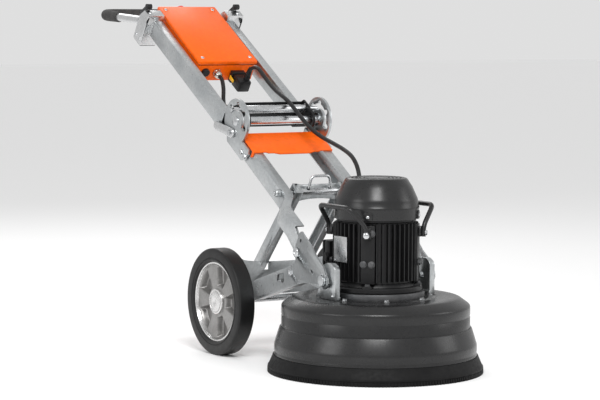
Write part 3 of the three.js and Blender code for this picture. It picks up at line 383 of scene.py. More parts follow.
def sweep(points: Sequence[Point], radii: Sequence[float], sides: int = 16) -> Shape:
    """Return a round bar along a line of points, closed at both ends.

    Args:
        points: The line in local millimetres.
        radii: The bar's radius at each point, or one radius for all.
        sides: Facets round the bar.

    Returns:
        The mesh in local millimetres.
    """
    line = [Vector(p) for p in points]
    sizes = list(radii) if len(radii) == len(line) else [radii[0]] * len(line)
    mesh = bmesh.new()
    side = (line[1] - line[0]).orthogonal().normalized()
    rings = []
    for i, point in enumerate(line):
        ahead = (line[min(i + 1, len(line) - 1)] - line[max(i - 1, 0)]).normalized()
        side = (side - ahead * side.dot(ahead)).normalized()
        other = ahead.cross(side)
        ring = []
        for k in range(sides):
            angle = 2 * math.pi * k / sides
            ring.append(mesh.verts.new(point + (side * math.cos(angle) + other * math.sin(angle)) * sizes[i]))
        rings.append(ring)
    for low, high in zip(rings, rings[1:]):
        for k in range(sides):
            j = (k + 1) % sides
            mesh.faces.new((low[k], low[j], high[j], high[k]))
    mesh.faces.new(rings[0])
    mesh.faces.new(rings[-1])
    bmesh.ops.recalc_face_normals(mesh, faces=mesh.faces)
    return mesh


def smooth_line(points: Sequence[Point], steps: int = 6) -> list[Vector]:
    """Return a smooth line through the points, with that many steps between two of them."""
    given = [Vector(p) for p in points]
    padded = [given[0] * 2 - given[1], *given, given[-1] * 2 - given[-2]]
    line = []
    for a, b, c, d in zip(padded, padded[1:], padded[2:], padded[3:]):
        for i in range(steps):
            t = i / steps
            line.append(0.5 * (2 * b + (c - a) * t + (2 * a - 5 * b + 4 * c - d) * t * t
                               + (3 * b - a - 3 * c + d) * t * t * t))
    return [*line, given[-1]]


def rounded_line(points: Sequence[Point], corner: float, steps: int = 10) -> list[Vector]:
    """Return straight runs joined by round corners.

    Args:
        points: The corners in local millimetres.
        corner: How far before and after each corner the bend starts.
        steps: Steps in each bend.

    Returns:
        The points of the line.
    """
    given = [Vector(p) for p in points]
    line = [given[0]]
    for before, here, after in zip(given, given[1:], given[2:]):
        start = here + (before - here).normalized() * corner
        stop = here + (after - here).normalized() * corner
        for i in range(steps + 1):
            t = i / steps
            line.append(start * (1 - t) ** 2 + here * 2 * t * (1 - t) + stop * t * t)
    return [*line, given[-1]]


def merged(*parts: Shape) -> Shape:
    """Return several meshes as one."""
    whole = bmesh.new()
    for part in parts:
        carrier = as_data("carrier", part)
        whole.from_mesh(carrier)
        bpy.data.meshes.remove(carrier)
    return whole


def moved(mesh: Shape, matrix: Matrix) -> Shape:
    """Return a mesh after a local move or turn."""
    bmesh.ops.transform(mesh, matrix=matrix, verts=mesh.verts)
    return mesh


def shifted(mesh: Shape, x: float, y: float, z: float) -> Shape:
    """Return a mesh moved by x, y and z millimetres."""
    return moved(mesh, Matrix.Translation((x, y, z)))


def stood(mesh: Shape, turn: Matrix, x: float, y: float, z: float) -> Shape:
    """Return a mesh turned, then moved by x, y and z millimetres."""
    return shifted(moved(mesh, turn), x, y, z)


TO_X = spun(90, "Y")
TO_Y = spun(-90, "X")


def settle(name: str, mesh: Shape, place: Matrix, finish: Finish, body: str,
           replaces: Iterable[str] = (), bevel: float = 0.0, sharp: float = 34.0) -> bpy.types.Object:
    """Make a finished piece out of a local mesh.

    Args:
        name: The piece's name.
        mesh: The mesh in local millimetres. It is used up.
        place: The matrix from local millimetres to the frame in metres.
        finish: The surface finish.
        body: The body that the piece moves with.
        replaces: Frame nodes that the piece stands for.
        bevel: Width of the rounded edges in millimetres.
        sharp: Edges that turn more than this many degrees stay sharp.

    Returns:
        The finished object, at the origin and unscaled.
    """
    piece = linked(name, as_data(name, mesh))
    if bevel > 0:
        edges = piece.modifiers.new("edges", "BEVEL")
        edges.width = bevel
        edges.segments = 2
        edges.limit_method = "ANGLE"
        edges.angle_limit = math.radians(28)
        bake(piece)
    return dress(piece, place, finish, body, replaces, sharp)


def bake(piece: bpy.types.Object) -> None:
    """Turn a piece's modifiers into plain mesh."""
    graph = bpy.context.evaluated_depsgraph_get()
    graph.update()
    plain = bpy.data.meshes.new_from_object(piece.evaluated_get(graph), depsgraph=graph)
    old = piece.data
    piece.modifiers.clear()
    piece.data = plain
    bpy.data.meshes.remove(old)


def dress(piece: bpy.types.Object, place: Matrix, finish: Finish, body: str, replaces: Iterable[str],
          sharp: float) -> bpy.types.Object:
    """Place, shade, colour and hang a plain mesh piece.

    Args:
        piece: The object, with no modifiers.
        place: The matrix from local millimetres to the frame in metres.
        finish: The surface finish.
        body: The body that the piece moves with, or an empty string to leave that to the caller.
        replaces: Frame nodes that the piece stands for.
        sharp: Edges that turn more than this many degrees stay sharp.

    Returns:
        The piece.
    """
    data = piece.data
    data.transform(place)
    if place.determinant() < 0:
        data.flip_normals()
    data.shade_smooth()
    data.set_sharp_from_angle(angle=math.radians(sharp))
    data.materials.clear()
    data.materials.append(finish.material())
    if replaces:
        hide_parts(*replaces)
    if body:
        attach(piece, body)
    LOG.info("%s: %d faces", piece.name, len(data.polygons))
    return piece


def remake(node: str, finish: Finish, body: str, bevel: float = 0.8) -> bpy.types.Object:
    """Stand a clean copy with rounded edges in for a frame node.

    Args:
        node: The frame node.
        finish: The surface finish.
        body: The body that the node belongs to.
        bevel: Width of the rounded edges in millimetres.

    Returns:
        The new piece.
    """
    mesh = bmesh.new()
    mesh.from_mesh(frame["nodes"][node].data)
    bmesh.ops.transform(mesh, matrix=Matrix.Scale(1 / MM, 4), verts=mesh.verts)
    bmesh.ops.remove_doubles(mesh, verts=mesh.verts, dist=0.01)
    bmesh.ops.dissolve_limit(mesh, angle_limit=math.radians(0.8), verts=mesh.verts, edges=mesh.edges)
    return settle(f"{node}_formed", mesh, Matrix.Scale(MM, 4), finish, body, [node], bevel)


def coat(node: str, finish: Finish) -> None:
    """Give a frame node that stays in view its finish."""
    data = frame["nodes"][node].data
    data.materials.clear()
    data.materials.append(finish.material())


# ---------------------------------------------------------------- repeated parts


class Repeater:
    """Geometry Nodes trees that repeat a template round a ring or on a list of seats."""

    def __init__(self) -> None:
        """Build both trees."""
        self.ring_tree = self._ring()
        self.seat_tree = self._seats()

    @staticmethod
    def _start(name: str, inputs: Sequence[tuple[str, str]]) -> tuple[Tree, bpy.types.NodeOutputs]:
        """Start a tree and return it with the sockets of its named inputs."""
        tree = bpy.data.node_groups.new(name, "GeometryNodeTree")
        for label, kind in (("Geometry", "Geometry"), ("Template", "Object"), *inputs,
                            ("Material", "Material")):
            tree.interface.new_socket(name=label, in_out="INPUT", socket_type=f"NodeSocket{kind}")
        tree.interface.new_socket(name="Geometry", in_out="OUTPUT", socket_type="NodeSocketGeometry")
        return tree, tree.nodes.new("NodeGroupInput").outputs

    @staticmethod
    def _end(tree: Tree, given: bpy.types.NodeOutputs, points: Socket, rotation: Socket) -> Tree:
        """Set the template on the points, make it plain mesh with its material, and send it out."""
        part = add(tree, "GeometryNodeObjectInfo", {"Object": given["Template"]})
        copies = add(tree, "GeometryNodeInstanceOnPoints",
                     {"Points": points, "Instance": part.outputs["Geometry"], "Rotation": rotation})
        real = add(tree, "GeometryNodeRealizeInstances", {"Geometry": copies.outputs["Instances"]})
        paint = add(tree, "GeometryNodeSetMaterial",
                    {"Geometry": real.outputs["Geometry"], "Material": given["Material"]})
        add(tree, "NodeGroupOutput", {"Geometry": paint.outputs["Geometry"]})
        return tree

    def _ring(self) -> Tree:
        """Return the tree that turns copies of a template round Z, facing outwards."""
        tree, given = self._start("ring_of_parts", (("Count", "Int"), ("Radius", "Float")))
        circle = add(tree, "GeometryNodeMeshCircle", {"Vertices": given["Count"], "Radius": given["Radius"]})
        spot = add(tree, "GeometryNodeInputPosition", {})
        turn = add(tree, "FunctionNodeAlignRotationToVector", {"Vector": spot.outputs[0]}, axis="X",
                   pivot_axis="Z")
        return self._end(tree, given, circle.outputs["Mesh"], turn.outputs["Rotation"])

    def _seats(self) -> Tree:
        """Return the tree that sets a template on each seat, with its Z along the seat's facing."""
        tree, given = self._start("parts_on_seats", ())
        facing = add(tree, "GeometryNodeInputNamedAttribute", {"Name": "facing"}, data_type="FLOAT_VECTOR")
        turn = add(tree, "FunctionNodeAlignRotationToVector", {"Vector": facing.outputs["Attribute"]},
                   axis="Z")
        return self._end(tree, given, given["Geometry"], turn.outputs["Rotation"])

    @staticmethod
    def _run(piece: bpy.types.Object, tree: Tree, template: Shape, values: dict[str, object]) -> None:
        """Run a tree on a piece with a shape to repeat, and keep the plain mesh."""
        part = linked("template", as_data("template", template))
        values["Template"] = part
        modifier = piece.modifiers.new("repeat", "NODES")
        modifier.node_group = tree
        for item in tree.interface.items_tree:
            if item.in_out == "INPUT" and item.name in values:
                modifier[item.identifier] = values[item.name]
        piece.update_tag()
        bake(piece)
        bpy.data.objects.remove(part)

    def ring(self, name: str, template: Shape, count: int, radius: float, place: Matrix,
             finish: Finish, body: str, replaces: Iterable[str] = ()) -> bpy.types.Object:
        """Make one piece of a template repeated round Z.

        Args:
            name: The piece's name.
            template: The shape, standing at a ring point with +X outwards, in millimetres.
            count: How many copies.
            radius: The ring's radius in millimetres.
            place: The matrix from local millimetres to the frame.
            finish: The surface finish.
            body: The body that the piece moves with.
            replaces: Frame nodes that the piece stands for.

        Returns:
            The finished piece.
        """
        piece = linked(name, bpy.data.meshes.new(name))
        values = {"Count": count, "Radius": radius, "Material": finish.material()}
        self._run(piece, self.ring_tree, template, values)
        return dress(piece, place, finish, body, replaces, 34.0)

    def seats(self, name: str, template: Shape, places: Sequence[tuple[Point, Point]], place: Matrix,
              finish: Finish, body: str) -> bpy.types.Object:
        """Make one piece of a template set on several seats.

        Args:
            name: The piece's name.
            template: The shape, standing on its seat with +Z away from it, in millimetres.
            places: A point and an outward direction for each seat, in local millimetres.
            place: The matrix from local millimetres to the frame.
            finish: The surface finish.
            body: The body that the piece moves with.

        Returns:
            The finished piece.
        """
        data = bpy.data.meshes.new(name)
        data.from_pydata([tuple(point) for point, _ in places], [], [])
        facing = data.attributes.new("facing", "FLOAT_VECTOR", "POINT")
        for i, (_, way) in enumerate(places):
            facing.data[i].vector = way
        piece = linked(name, data)
        self._run(piece, self.seat_tree, template, {"Material": finish.material()})
        return dress(piece, place, finish, body, (), 34.0)


REPEAT = Repeater()


def round_seats(count: int, start: float, radius: float, height: float,
                up: int = 0) -> list[tuple[Point, Point]]:
    """Return evenly spaced seats on a circle round Z.

    Args:
        count: How many seats.
        start: The first seat's angle in degrees.
        radius: The circle's radius in millimetres.
        height: The circle's height in millimetres.
        up: 1 for seats that face up, -1 for down, 0 for outwards.

    Returns:
        A point and an outward direction for each seat.
    """
    ways = [spun(360 / count * i + start) @ Vector((1, 0, 0)) for i in range(count)]
    return [((radius * w.x, radius * w.y, height), (0, 0, up) if up else w) for w in ways]


def hex_bolt(across: float, height: float) -> Shape:
    """Return a hexagon head on a washer, by its size across the corners and its height."""
    r = across / 2
    washer = lathe([(0, 0), (r * 1.25, 0), (r * 1.25, height * 0.22), (r * 1.1, height * 0.3),
                    (0, height * 0.3)], 24)
    head = lathe([(0, height * 0.3), (r, height * 0.3), (r, height * 0.9), (r * 0.86, height), (0, height)],
                 6)
    return merged(washer, head)


def pan_screw(radius: float, height: float) -> Shape:
    """Return a domed screw head with a round driving recess."""
    dome = [(radius * math.cos(a), height * math.sin(a)) for a in (0.0, 0.35, 0.7, 1.0)]
    recess = [(radius * 0.42, height * 0.9), (radius * 0.36, height * 0.35), (0, height * 0.35)]
    return lathe([(0, 0), *dome, *recess], 20)


def wire_clip(size: float) -> Shape:
    """Return a sprung wire clip of that length, lying flat on its seat."""
    s = size
    line = smooth_line([(-s * 0.5, 0, 1), (-s * 0.1, 0, 1), (0, s * 0.12, 1), (s * 0.12, 0, 1),
                        (s * 0.4, 0.5, 1),
                        (s * 0.55, s * 0.12, 1), (s * 0.42, s * 0.22, 1), (s * 0.1, s * 0.2, 1),
                        (-s * 0.35, s * 0.24, 1)], 5)
    return sweep(line, [1.1], 8)


# ---------------------------------------------------------------- cables


@dataclass
class Cables:
    """The motor lead from the box's plug down to the motor, and the supply lead to its inlet."""

    radius: float = 6.0
    sides: int = 20
    fold_cut: float = 440.0
    motor_cut: float = 171.0

    def route(self) -> list[Vector]:
        """Return the motor lead's line in millimetres, the one that its frame node follows."""
        return smooth_line([
            (44, 748.9, 774), (44, 742, 782.8), (44, 731.6, 790.6), (44, 719.6, 795.4), (44, 706.8, 797),
            (44, 692, 794.8), (43.6, 677, 787.6), (43, 652, 770.6), (42, 622, 751.6), (41, 590, 735),
            (40.6, 560, 722.6), (40.6, 520, 706.4), (41, 482, 684), (43, 440, 655), (47, 398, 629),
            (53, 352, 609), (58, 302, 594), (60, 254, 580), (57, 208, 563), (50, 171, 538), (42, 147, 506),
            (34, 138, 470), (26, 135, 434), (21, 134, 402), (20, 134, 374)], 5)

    def build(self) -> None:
        """Make both leads. The motor lead is three pieces, each across one joint."""
        line = self.route()
        cuts = (0, self._index(line, self.fold_cut), self._index(line, self.motor_cut), len(line) - 1)
        names = (("upper_frame", "lower_frame"), ("lower_frame", "chassis"), ("chassis", "head"))
        for i, (first, second) in enumerate(names):
            part = line[cuts[i]:cuts[i + 1] + 1]
            piece = settle(f"motor_lead_{i + 1}", sweep(part, [self.radius], self.sides), MACHINE, CABLE, "",
                           ["motor_cable"])
            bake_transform(piece)
        for name, at, ahead, body in (("motor_lead_boot", line[0], line[7], "upper_frame"),
                                      ("motor_lead_foot", line[-1], line[-7], "head")):
            self._boot(name, at, ahead, body, MACHINE)
        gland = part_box("cable_gland")
        x = (gland[0][0] + gland[1][0]) / 2 / MM
        supply = [(x, 296.4, -48), (x, 286.4, -48), (x - 2, 272.4, -51), (x - 8, 248.4, -60),
                  (x - 18, 220.4, -73), (-59, 192.4, -82), (-62, 178, -86), (-62, 160.6, -86)]
        path = smooth_line(supply, 6)
        settle("supply_lead", sweep(path, [self.radius], self.sides), UPPER, CABLE, "upper_frame",
               ["supply_cable"])
        self._boot("supply_lead_boot", path[-1], path[-8], "upper_frame", UPPER)

    @staticmethod
    def _index(line: Sequence[Vector], y: float) -> int:
        """Return the point of the line nearest a distance from the head's axis, past the plug's bend."""
        past_plug = len(line) // 2
        return min(range(past_plug, len(line)), key=lambda i: abs(line[i].y - y))

    @staticmethod
    def _boot(name: str, at: Vector, ahead: Vector, body: str, place: Matrix) -> None:
        """Make a tapered strain relief from a lead's end towards a point on it."""
        way = (ahead - at).normalized()
        length, thick, thin, groove, steps = 26, 9.0, 6.8, 0.93, 12
        points = [at + way * (length * i / steps) for i in range(steps + 1)]
        radii = [(thick + (thin - thick) * i / steps) * (groove if i % 2 else 1.0) for i in range(steps + 1)]
        settle(name, sweep(points, radii, 24), place, BLACK_PLASTIC, body)


# ---------------------------------------------------------------- head


@dataclass
class Shroud:
    """Round shroud: painted body, floating flared ring and rubber skirt."""

    body_radius: float = 253.4
    ring_radius: float = 272.0
    skirt_radius: float = 289.6
    sides: int = 160

    def build(self) -> None:
        """Make the three shells and their trim."""
        r = self.body_radius
        shoulder = [(r - 0.4 * k * k, 176 + 2.6 * k) for k in range(4)]
        body = [(r - 3, 96.2), (r, 96.2), (r, 150), (r - 1.2, 152), (r - 1.2, 155), (r, 157), *shoulder,
                (228, 199.5), (223.5, 201.6), (218, 202.7), (165, 202.9), (163, 201.4), (158, 201.4),
                (156, 202.9), (133, 202.9), (133, 200.2), (218, 199.8), (246, 182), (r - 3, 174)]
        settle("shroud_shell", lathe(body, self.sides), MACHINE, GREY_PAINT, "head", ["shroud_body"], 0, 40)
        q = self.ring_radius
        ring = [(q - 3, 46.4), (q, 46.4), (q, 52), (q - 1, 54), (q - 1, 57), (q, 59), (q, 74), (q - 0.6, 78),
                (q - 1.8, 81.5), (258.6, 118.6), (257, 121), (255.4, 121.9), (254.2, 121.6), (254.4, 119),
                (q - 4.4, 78)]
        settle("flared_ring", lathe(ring, self.sides), MACHINE, GREY_PAINT, "floating_shroud",
               ["shroud_ring"], 0, 40)
        s = self.skirt_radius
        skirt = [(s - 7, 0.2), (s - 1.6, 0.2), (s - 1.6, 12), (s - 0.4, 13), (s - 0.4, 17), (s - 2.5, 18.5),
                 (276.6, 43), (275.6, 45.8), (266, 45.8), (266, 40)]
        settle("skirt_band", lathe(skirt, self.sides), MACHINE, SKIRT, "floating_shroud", ["skirt"], 0, 40)
        tooth = brick((-2.2, -2.6, 0.1), (0.35, 2.6, 11.5))
        REPEAT.ring("skirt_teeth", tooth, 210, s, MACHINE, SKIRT, "floating_shroud")
        REPEAT.seats("skirt_rivets", pan_screw(3.2, 1.6), round_seats(24, 7.5, 270.3, 49.5), MACHINE,
                     DARK_STEEL, "floating_shroud")


@dataclass
class Motor:
    """Upright finned motor with its flange, fan cover, terminal box and lift handles."""

    core: float = 101.0
    fin_tip: float = 112.8
    fins: int = 44
    low: float = 246.0
    high: float = 412.0

    def build(self) -> None:
        """Make every piece of the motor."""
        self._barrel()
        self._fan_cover()
        self._terminal_box()
        self._lift_handles()
        coat("rotor_shaft", STEEL)
        coat("cooling_fan", BLACK_PLASTIC)

    def _barrel(self) -> None:
        """Make the flange, the barrel, its fins, pads, bolts and blank rating plate."""
        c = self.core
        profile = [(60, 220.5), (122, 220.5), (124, 222.5), (124, 231), (121, 234.2), (110, 235.5),
                   (108, 240),
                   (c, 246), (c, 405), (c + 6, 408), (c + 6, 412), (92, 412), (92, 240), (60, 236)]
        settle("motor_barrel", lathe(profile, 128), MACHINE, BLACK_PAINT, "head", ["motor_housing"], 0, 40)
        taper = [(-3, -3.1), (self.fin_tip - c, -1.7), (self.fin_tip - c, 1.7), (-3, 3.1)]
        fin = slab(taper, self.low + 4, self.high - 9, "Z")
        REPEAT.ring("motor_fins", fin, self.fins, c, MACHINE, BLACK_PAINT, "head")
        pads = []
        bosses = []
        for angle in (45, 135, 225, 315):
            turn = spun(angle)
            outline = [(c - 5, -21), (114, -19), (115, -17), (115, 17), (114, 19), (c - 5, 21)]
            pads.append(moved(slab(outline, self.low, 400, "Z"), turn))
            foot = slab([(c, -17), (123, -12), (123, 12), (c, 17)], 222.5, 240, "Z")
            pads.append(moved(foot, turn))
            way = turn @ Vector((1, 0, 0))
            for z, y in ((298, -11), (298, 11), (380, 12)):
                pads.append(moved(brick((114, y - 8, z - 9), (117, y + 8, z + 9)), turn))
                bosses.append((turn @ Vector((117, y, z)), way))
            bosses.append((turn @ Vector((114.5, 0, 240)), Vector((0, 0, 1))))
        settle("motor_pads", merged(*pads), MACHINE, BLACK_PAINT, "head", (), 1.6)
        REPEAT.seats("motor_bolts", hex_bolt(15, 6.5), bosses, MACHINE, DARK_STEEL, "head")
        plate = brick((-114.3, -31, 300), (-112.9, 31, 368))
        settle("blank_rating_plate", plate, MACHINE, ALUMINIUM, "head", (), 0.5)
        rivets = [((-114.3, y, z), (-1, 0, 0)) for y in (-27, 27) for z in (304, 364)]
        REPEAT.seats("rating_plate_rivets", pan_screw(2.2, 1.2), rivets, MACHINE, STEEL, "head")

    def _fan_cover(self) -> None:
        """Make the pressed fan cover with an open slotted top."""
        side = [(110.5, 413.2), (113.4, 413.2), (114, 416), (114, 436), (115, 440), (115.2, 444),
                (114, 447.5),
                (112.6, 450), (111.4, 461), (110.4, 466), (108.6, 470), (96.5, 497), (83.5, 517),
                (80.5, 519.6),
                (77, 520.8), (74, 520.8), (74, 518.6), (79, 518), (94.5, 496), (106.6, 469), (108.8, 461),
                (111.4, 446), (112, 436)]
        settle("fan_cover_shell", lathe(side, 128), MACHINE, GREY_PAINT, "head", ["fan_cover"], 0, 40)
        rings = [74, 68, 63.5, 57.5, 53, 47, 42.5, 36.5, 32, 26, 0]
        grid = merged(*[self._grid_ring(rings[i + 1], rings[i]) for i in range(0, 9, 2)], self._spokes(),
                      lathe([(0, 518.2), (26, 518.2), (26, 520.6), (0, 520.9)], 48))
        settle("fan_cover_grille", grid, MACHINE, GREY_PAINT, "head", (), 0, 40)
        tabs = []
        screws = []
        for angle in (45, 135, 225, 315):
            turn = spun(angle)
            outline = [(-11, 413.3), (11, 413.3), (14, 428), (6, 436), (-6, 436), (-14, 428)]
            tabs.append(moved(slab(outline, 112.5, 116.2, "X"), turn))
            screws.append((turn @ Vector((116.2, 0, 423)), turn @ Vector((1, 0, 0))))
        settle("fan_cover_tabs", merged(*tabs), MACHINE, GREY_PAINT, "head", (), 0.8)
        REPEAT.seats("fan_cover_screws", pan_screw(5, 3), screws, MACHINE, STEEL, "head")

    @staticmethod
    def _grid_ring(inner: float, outer: float) -> Shape:
        """Return one flat ring of the slotted top."""
        return lathe([(inner, 518.4), (outer, 518.4), (outer, 520.4), (inner, 520.4)], 96)

    @staticmethod
    def _spokes() -> Shape:
        """Return the spokes that tie the rings of the slotted top."""
        arms = [moved(brick((20, -2.4, 518.3), (75, 2.4, 520.3)), spun(30 * i)) for i in range(12)]
        return merged(*arms)

    @staticmethod
    def _terminal_box() -> None:
        """Make the terminal box with its lid, screws, blank entry and gland."""
        body = brick((-74.5, 114.8, 258.5), (44.5, 140, 344.5))
        settle("terminal_box_base", body, MACHINE, BLACK_PAINT, "head", ["terminal_box"], 4)
        lid = brick((-75, 140.4, 258), (45, 152, 345))
        settle("terminal_box_lid", lid, MACHINE, BLACK_PAINT, "head", (), 4)
        seats = [((x, 152, z), (0, 1, 0)) for x in (-66, 36) for z in (267, 336)]
        REPEAT.seats("terminal_box_screws", pan_screw(4, 2.4), seats, MACHINE, STEEL, "head")
        entry = lathe([(0, 0), (13, 0), (13, 3), (10, 5), (10, 7), (0, 7)], 32)
        place = Matrix.Translation((-74.5, 128, 300)) @ spun(-90, "Y")
        settle("terminal_box_blank", moved(entry, place), MACHINE, BLACK_PLASTIC, "head")
        nut = lathe([(0, 344), (13, 344), (13, 351), (0, 351)], 6)
        dome = lathe([(0, 350), (10.5, 350), (10.5, 366), (9, 371), (6.4, 373), (0, 373)], 32)
        settle("terminal_gland", shifted(merged(nut, dome), 20, 134, 0), MACHINE, NICKEL, "head", (), 0.6)

    @staticmethod
    def _lift_handles() -> None:
        """Make the two bent rod handles with their bolted feet."""
        foot = 128.5 * math.cos(math.radians(45))
        for name, hand in HANDS:
            line = rounded_line([(hand * foot, -foot, 366), (hand * foot, -foot, 394), (hand * 134, -72, 448),
                                 (hand * 134, 72, 448), (hand * foot, foot, 394), (hand * foot, foot, 366)],
                                 17, 8)
            settle(f"lift_rod_{name}", sweep(line, [6.5], 20), MACHINE, GREY_PAINT, "head",
                   [f"lift_handle_{name}"])
            ends = []
            bolts = []
            for side in (-1, 1):
                way = Vector((hand, side, 0)).normalized()
                turn = Matrix.Rotation(math.atan2(way.y, way.x), 4, "Z")
                lug = slab([(-11, 366), (11, 366), (13, 380), (9, 394), (-9, 394), (-13, 380)], 116.4, 123.5,
                           "X")
                ends.append(moved(lug, turn))
                bolts.append((way * 134 + Vector((0, 0, 376)), way))
            settle(f"lift_feet_{name}", merged(*ends), MACHINE, GREY_PAINT, "head", (), 1.5)
            REPEAT.seats(f"lift_bolts_{name}", hex_bolt(13, 5), bolts, MACHINE, STEEL, "head")


@dataclass
class Drive:
    """Gear casing, gears, carrier and the grinding discs under the head."""

    pads: int = 6

    def build(self) -> None:
        """Finish the gear train and make the discs."""
        casing = [(230.5, 86.2), (238, 86.2), (238, 110), (216, 132), (127, 162), (127, 195), (130.6, 199.2),
                  (131, 201), (131, 215.5), (129, 219), (126, 220), (60, 220), (60, 214), (110, 158),
                  (109, 134.5), (198, 112.6), (230.5, 112.6)]
        settle("gear_casing", lathe(casing, 128), MACHINE, DARK_STEEL, "head", ["drive_casing"], 0, 30)
        bolts = round_seats(8, 22.5, 147, 202.9, 1)
        REPEAT.seats("shroud_top_bolts", hex_bolt(13, 6), bolts, MACHINE, STEEL, "head")
        for node in ("ring_gear", "planet_carrier"):
            coat(node, STEEL)
        for i in range(3):
            gear = f"planet_gear_{i + 1}"
            coat(gear, STEEL)
            self._disc(i + 1, node_centre(gear))

    def _disc(self, number: int, centre: Vector) -> None:
        """Make one grinding disc with its segments and hub bolts.

        Args:
            number: The disc's number.
            centre: The middle of its gear in metres.
        """
        place = Matrix.Translation((centre.x, centre.y, 0)) @ Matrix.Scale(MM, 4)
        node = f"grinding_disc_{number}"
        body = f"tool_{number}"
        plate = lathe([(0, 14.2), (104, 14.2), (108, 15.5), (110.6, 18), (110.6, 24), (109, 25.8), (34, 25.8),
                       (34, 35.6), (32, 35.9), (0, 35.9)], 96)
        settle(f"disc_plate_{number}", plate, place, DARK_STEEL, body, [node])
        half = math.pi / self.pads / 1.9
        arc = [-half + 2 * half * k / 8 for k in range(9)]
        outline = [(106.5 * math.cos(a) - 88, 106.5 * math.sin(a)) for a in arc]
        outline += [(68.5 * math.cos(a) - 88, 68.5 * math.sin(a)) for a in reversed(arc)]
        pad = slab(outline, 0.1, 14.2, "Z")
        REPEAT.ring(f"disc_segments_{number}", pad, self.pads, 88, place, ABRASIVE, body)
        bolts = round_seats(6, 30, 50, 14.2, -1)
        REPEAT.seats(f"disc_bolts_{number}", hex_bolt(13, 5), bolts, place, STEEL, body)


# ---------------------------------------------------------------- wheels and chassis


@dataclass
class Wheels:
    """Two cast wheels with solid tyres."""

    rim: float = 111.4
    outer: float = 231.4
    inner: float = 180.8
    pockets: int = 5
    pocket_share: float = 0.60
    pocket_low: float = 45.0
    pocket_high: float = 101.0
    rib: float = 7.0
    floor: float = 26.0
    slope: float = 8.0

    def build(self) -> None:
        """Make both wheels."""
        for name, hand in HANDS:
            body = f"wheel_{name}"
            centre = joint_place(f"wheel_{name}_spin")
            middle = Matrix.Translation((0, centre.y, centre.z)) @ Matrix.Scale(MM, 4)
            place = middle @ Matrix.Scale(hand, 4, (1, 0, 0))
            w = self.outer - self.inner
            tyre = [(self.rim, 6), (self.rim + 4, 1.6), (119, 1.0), (120.5, 2.8), (122.5, 2.8), (124, 1.0),
                    (143, 0.3), (146.8, 1.5), (149.2, 4.0), (149.9, 7.5)]
            tyre += [(r, w - h) for r, h in reversed(tyre)]
            settle(f"tyre_{name}_round", stood(lathe(tyre, 144), TO_X, self.inner, 0, 0), place, TYRE, body,
                   [f"tyre_{name}"], 0, 30)
            self._rim(name, place, body)

    def _height(self, r: float, angle: float) -> float:
        """Return how deep the rim's face lies at a point, in millimetres below the lip."""
        half = math.pi / self.pockets
        local = (angle % (2 * half)) - half
        along = abs(local) * r
        limit = half * self.pocket_share * r - 3
        edge = min(limit - along, r - self.pocket_low, self.pocket_high - r)
        t = min(max((edge + 2.0) / self.slope, 0.0), 1.0)
        return self.rib + (self.floor - self.rib) * t * t * (3 - 2 * t)

    def _rim(self, name: str, place: Matrix, body: str) -> None:
        """Make one rim: the cast face with its pockets, the turned lip, hub and cap.

        Args:
            name: left or right.
            place: The matrix from local millimetres to the frame.
            body: The wheel's body.
        """
        x = self.outer - 7
        mesh = bmesh.new()
        radii = [34 + 70 * k / 42 for k in range(43)]
        count = 360
        rows = []
        for r in radii:
            row = []
            for i in range(count):
                a = 2 * math.pi * i / count
                row.append(mesh.verts.new((x - self._height(r, a), r * math.cos(a), r * math.sin(a))))
            rows.append(row)
        back = x - 29
        rows.append([mesh.verts.new((back, v.co.y, v.co.z)) for v in rows[-1]])
        rows.append([mesh.verts.new((back, v.co.y, v.co.z)) for v in rows[0]])
        rows.append(rows[0])
        for low, high in zip(rows, rows[1:]):
            for i in range(count):
                j = (i + 1) % count
                mesh.faces.new((low[i], low[j], high[j], high[i]))
        bmesh.ops.recalc_face_normals(mesh, faces=mesh.faces)
        settle(f"rim_{name}_face", mesh, place, CAST_RIM, body, [f"rim_{name}"], 0, 60)
        lip = lathe([(103.6, -30), (111.2, -30), (111.2, 0.6), (109.6, 1.2), (107.2, 0.6), (105.6, -4),
                     (103.6, -9)], 144)
        settle(f"rim_{name}_lip", stood(lip, TO_X, x, 0, 0), place, TURNED_RIM, body, (), 0, 30)
        hub = lathe([(11, -36), (34, -36), (34.4, -9), (36, -4), (35, -1.4), (31, -0.6), (29, -2), (11, -2)],
                    96)
        settle(f"hub_{name}", stood(hub, TO_X, x, 0, 0), place, TURNED_RIM, body, (), 0, 30)
        cap = lathe([(0, -2.2), (28, -2.2), (28, 0.2), (26, 1.4), (10, 2.0), (8, 1.6), (5, 0.4), (0, 0)], 64)
        settle(f"hub_cap_{name}", stood(cap, TO_X, x, 0, 0), place, TURNED_RIM, body, (), 0, 30)


class Chassis:
    """Zinc side plates, cross panel, axle, and the forks that carry the head."""

    def build(self) -> None:
        """Finish the plates and make the fasteners."""
        for name, hand in HANDS:
            remake(f"chassis_plate_{name}", ZINC, "chassis", 1.0)
            remake(f"fork_{name}", ZINC, "head", 1.2)
            gusset = slab([(26.4, 203.5), (60, 203.5), (26.4, 262)], hand * 150 - 2.5, hand * 150 + 2.5, "X")
            settle(f"fork_gusset_{name}", gusset, MACHINE, ZINC, "head", (), 0.8)
            for piece, part, seat, way, body in (
                    ("frame_pin_cap", pan_screw(13, 3), (179, 120.3, 318), (hand, 0, 0), "chassis"),
                    ("plate_bolts", hex_bolt(15, 6), (173, 155, 261), (hand, 0, 0), "chassis"),
                    ("fork_clip", wire_clip(34), (163, -6, 268), (0, 0, 1), "head"),
                    ("fork_foot_bolts", hex_bolt(12, 5), (158, -36, 213), (0, 0, 1), "head")):
                spot = (hand * seat[0], *seat[1:])
                REPEAT.seats(f"{piece}_{name}", part, [(spot, way)], MACHINE, STEEL, body)
        for node, finish in (("rear_cross_panel", ZINC), ("axle", STEEL)):
            remake(node, finish, "chassis", 1.0)


# ---------------------------------------------------------------- folding frame


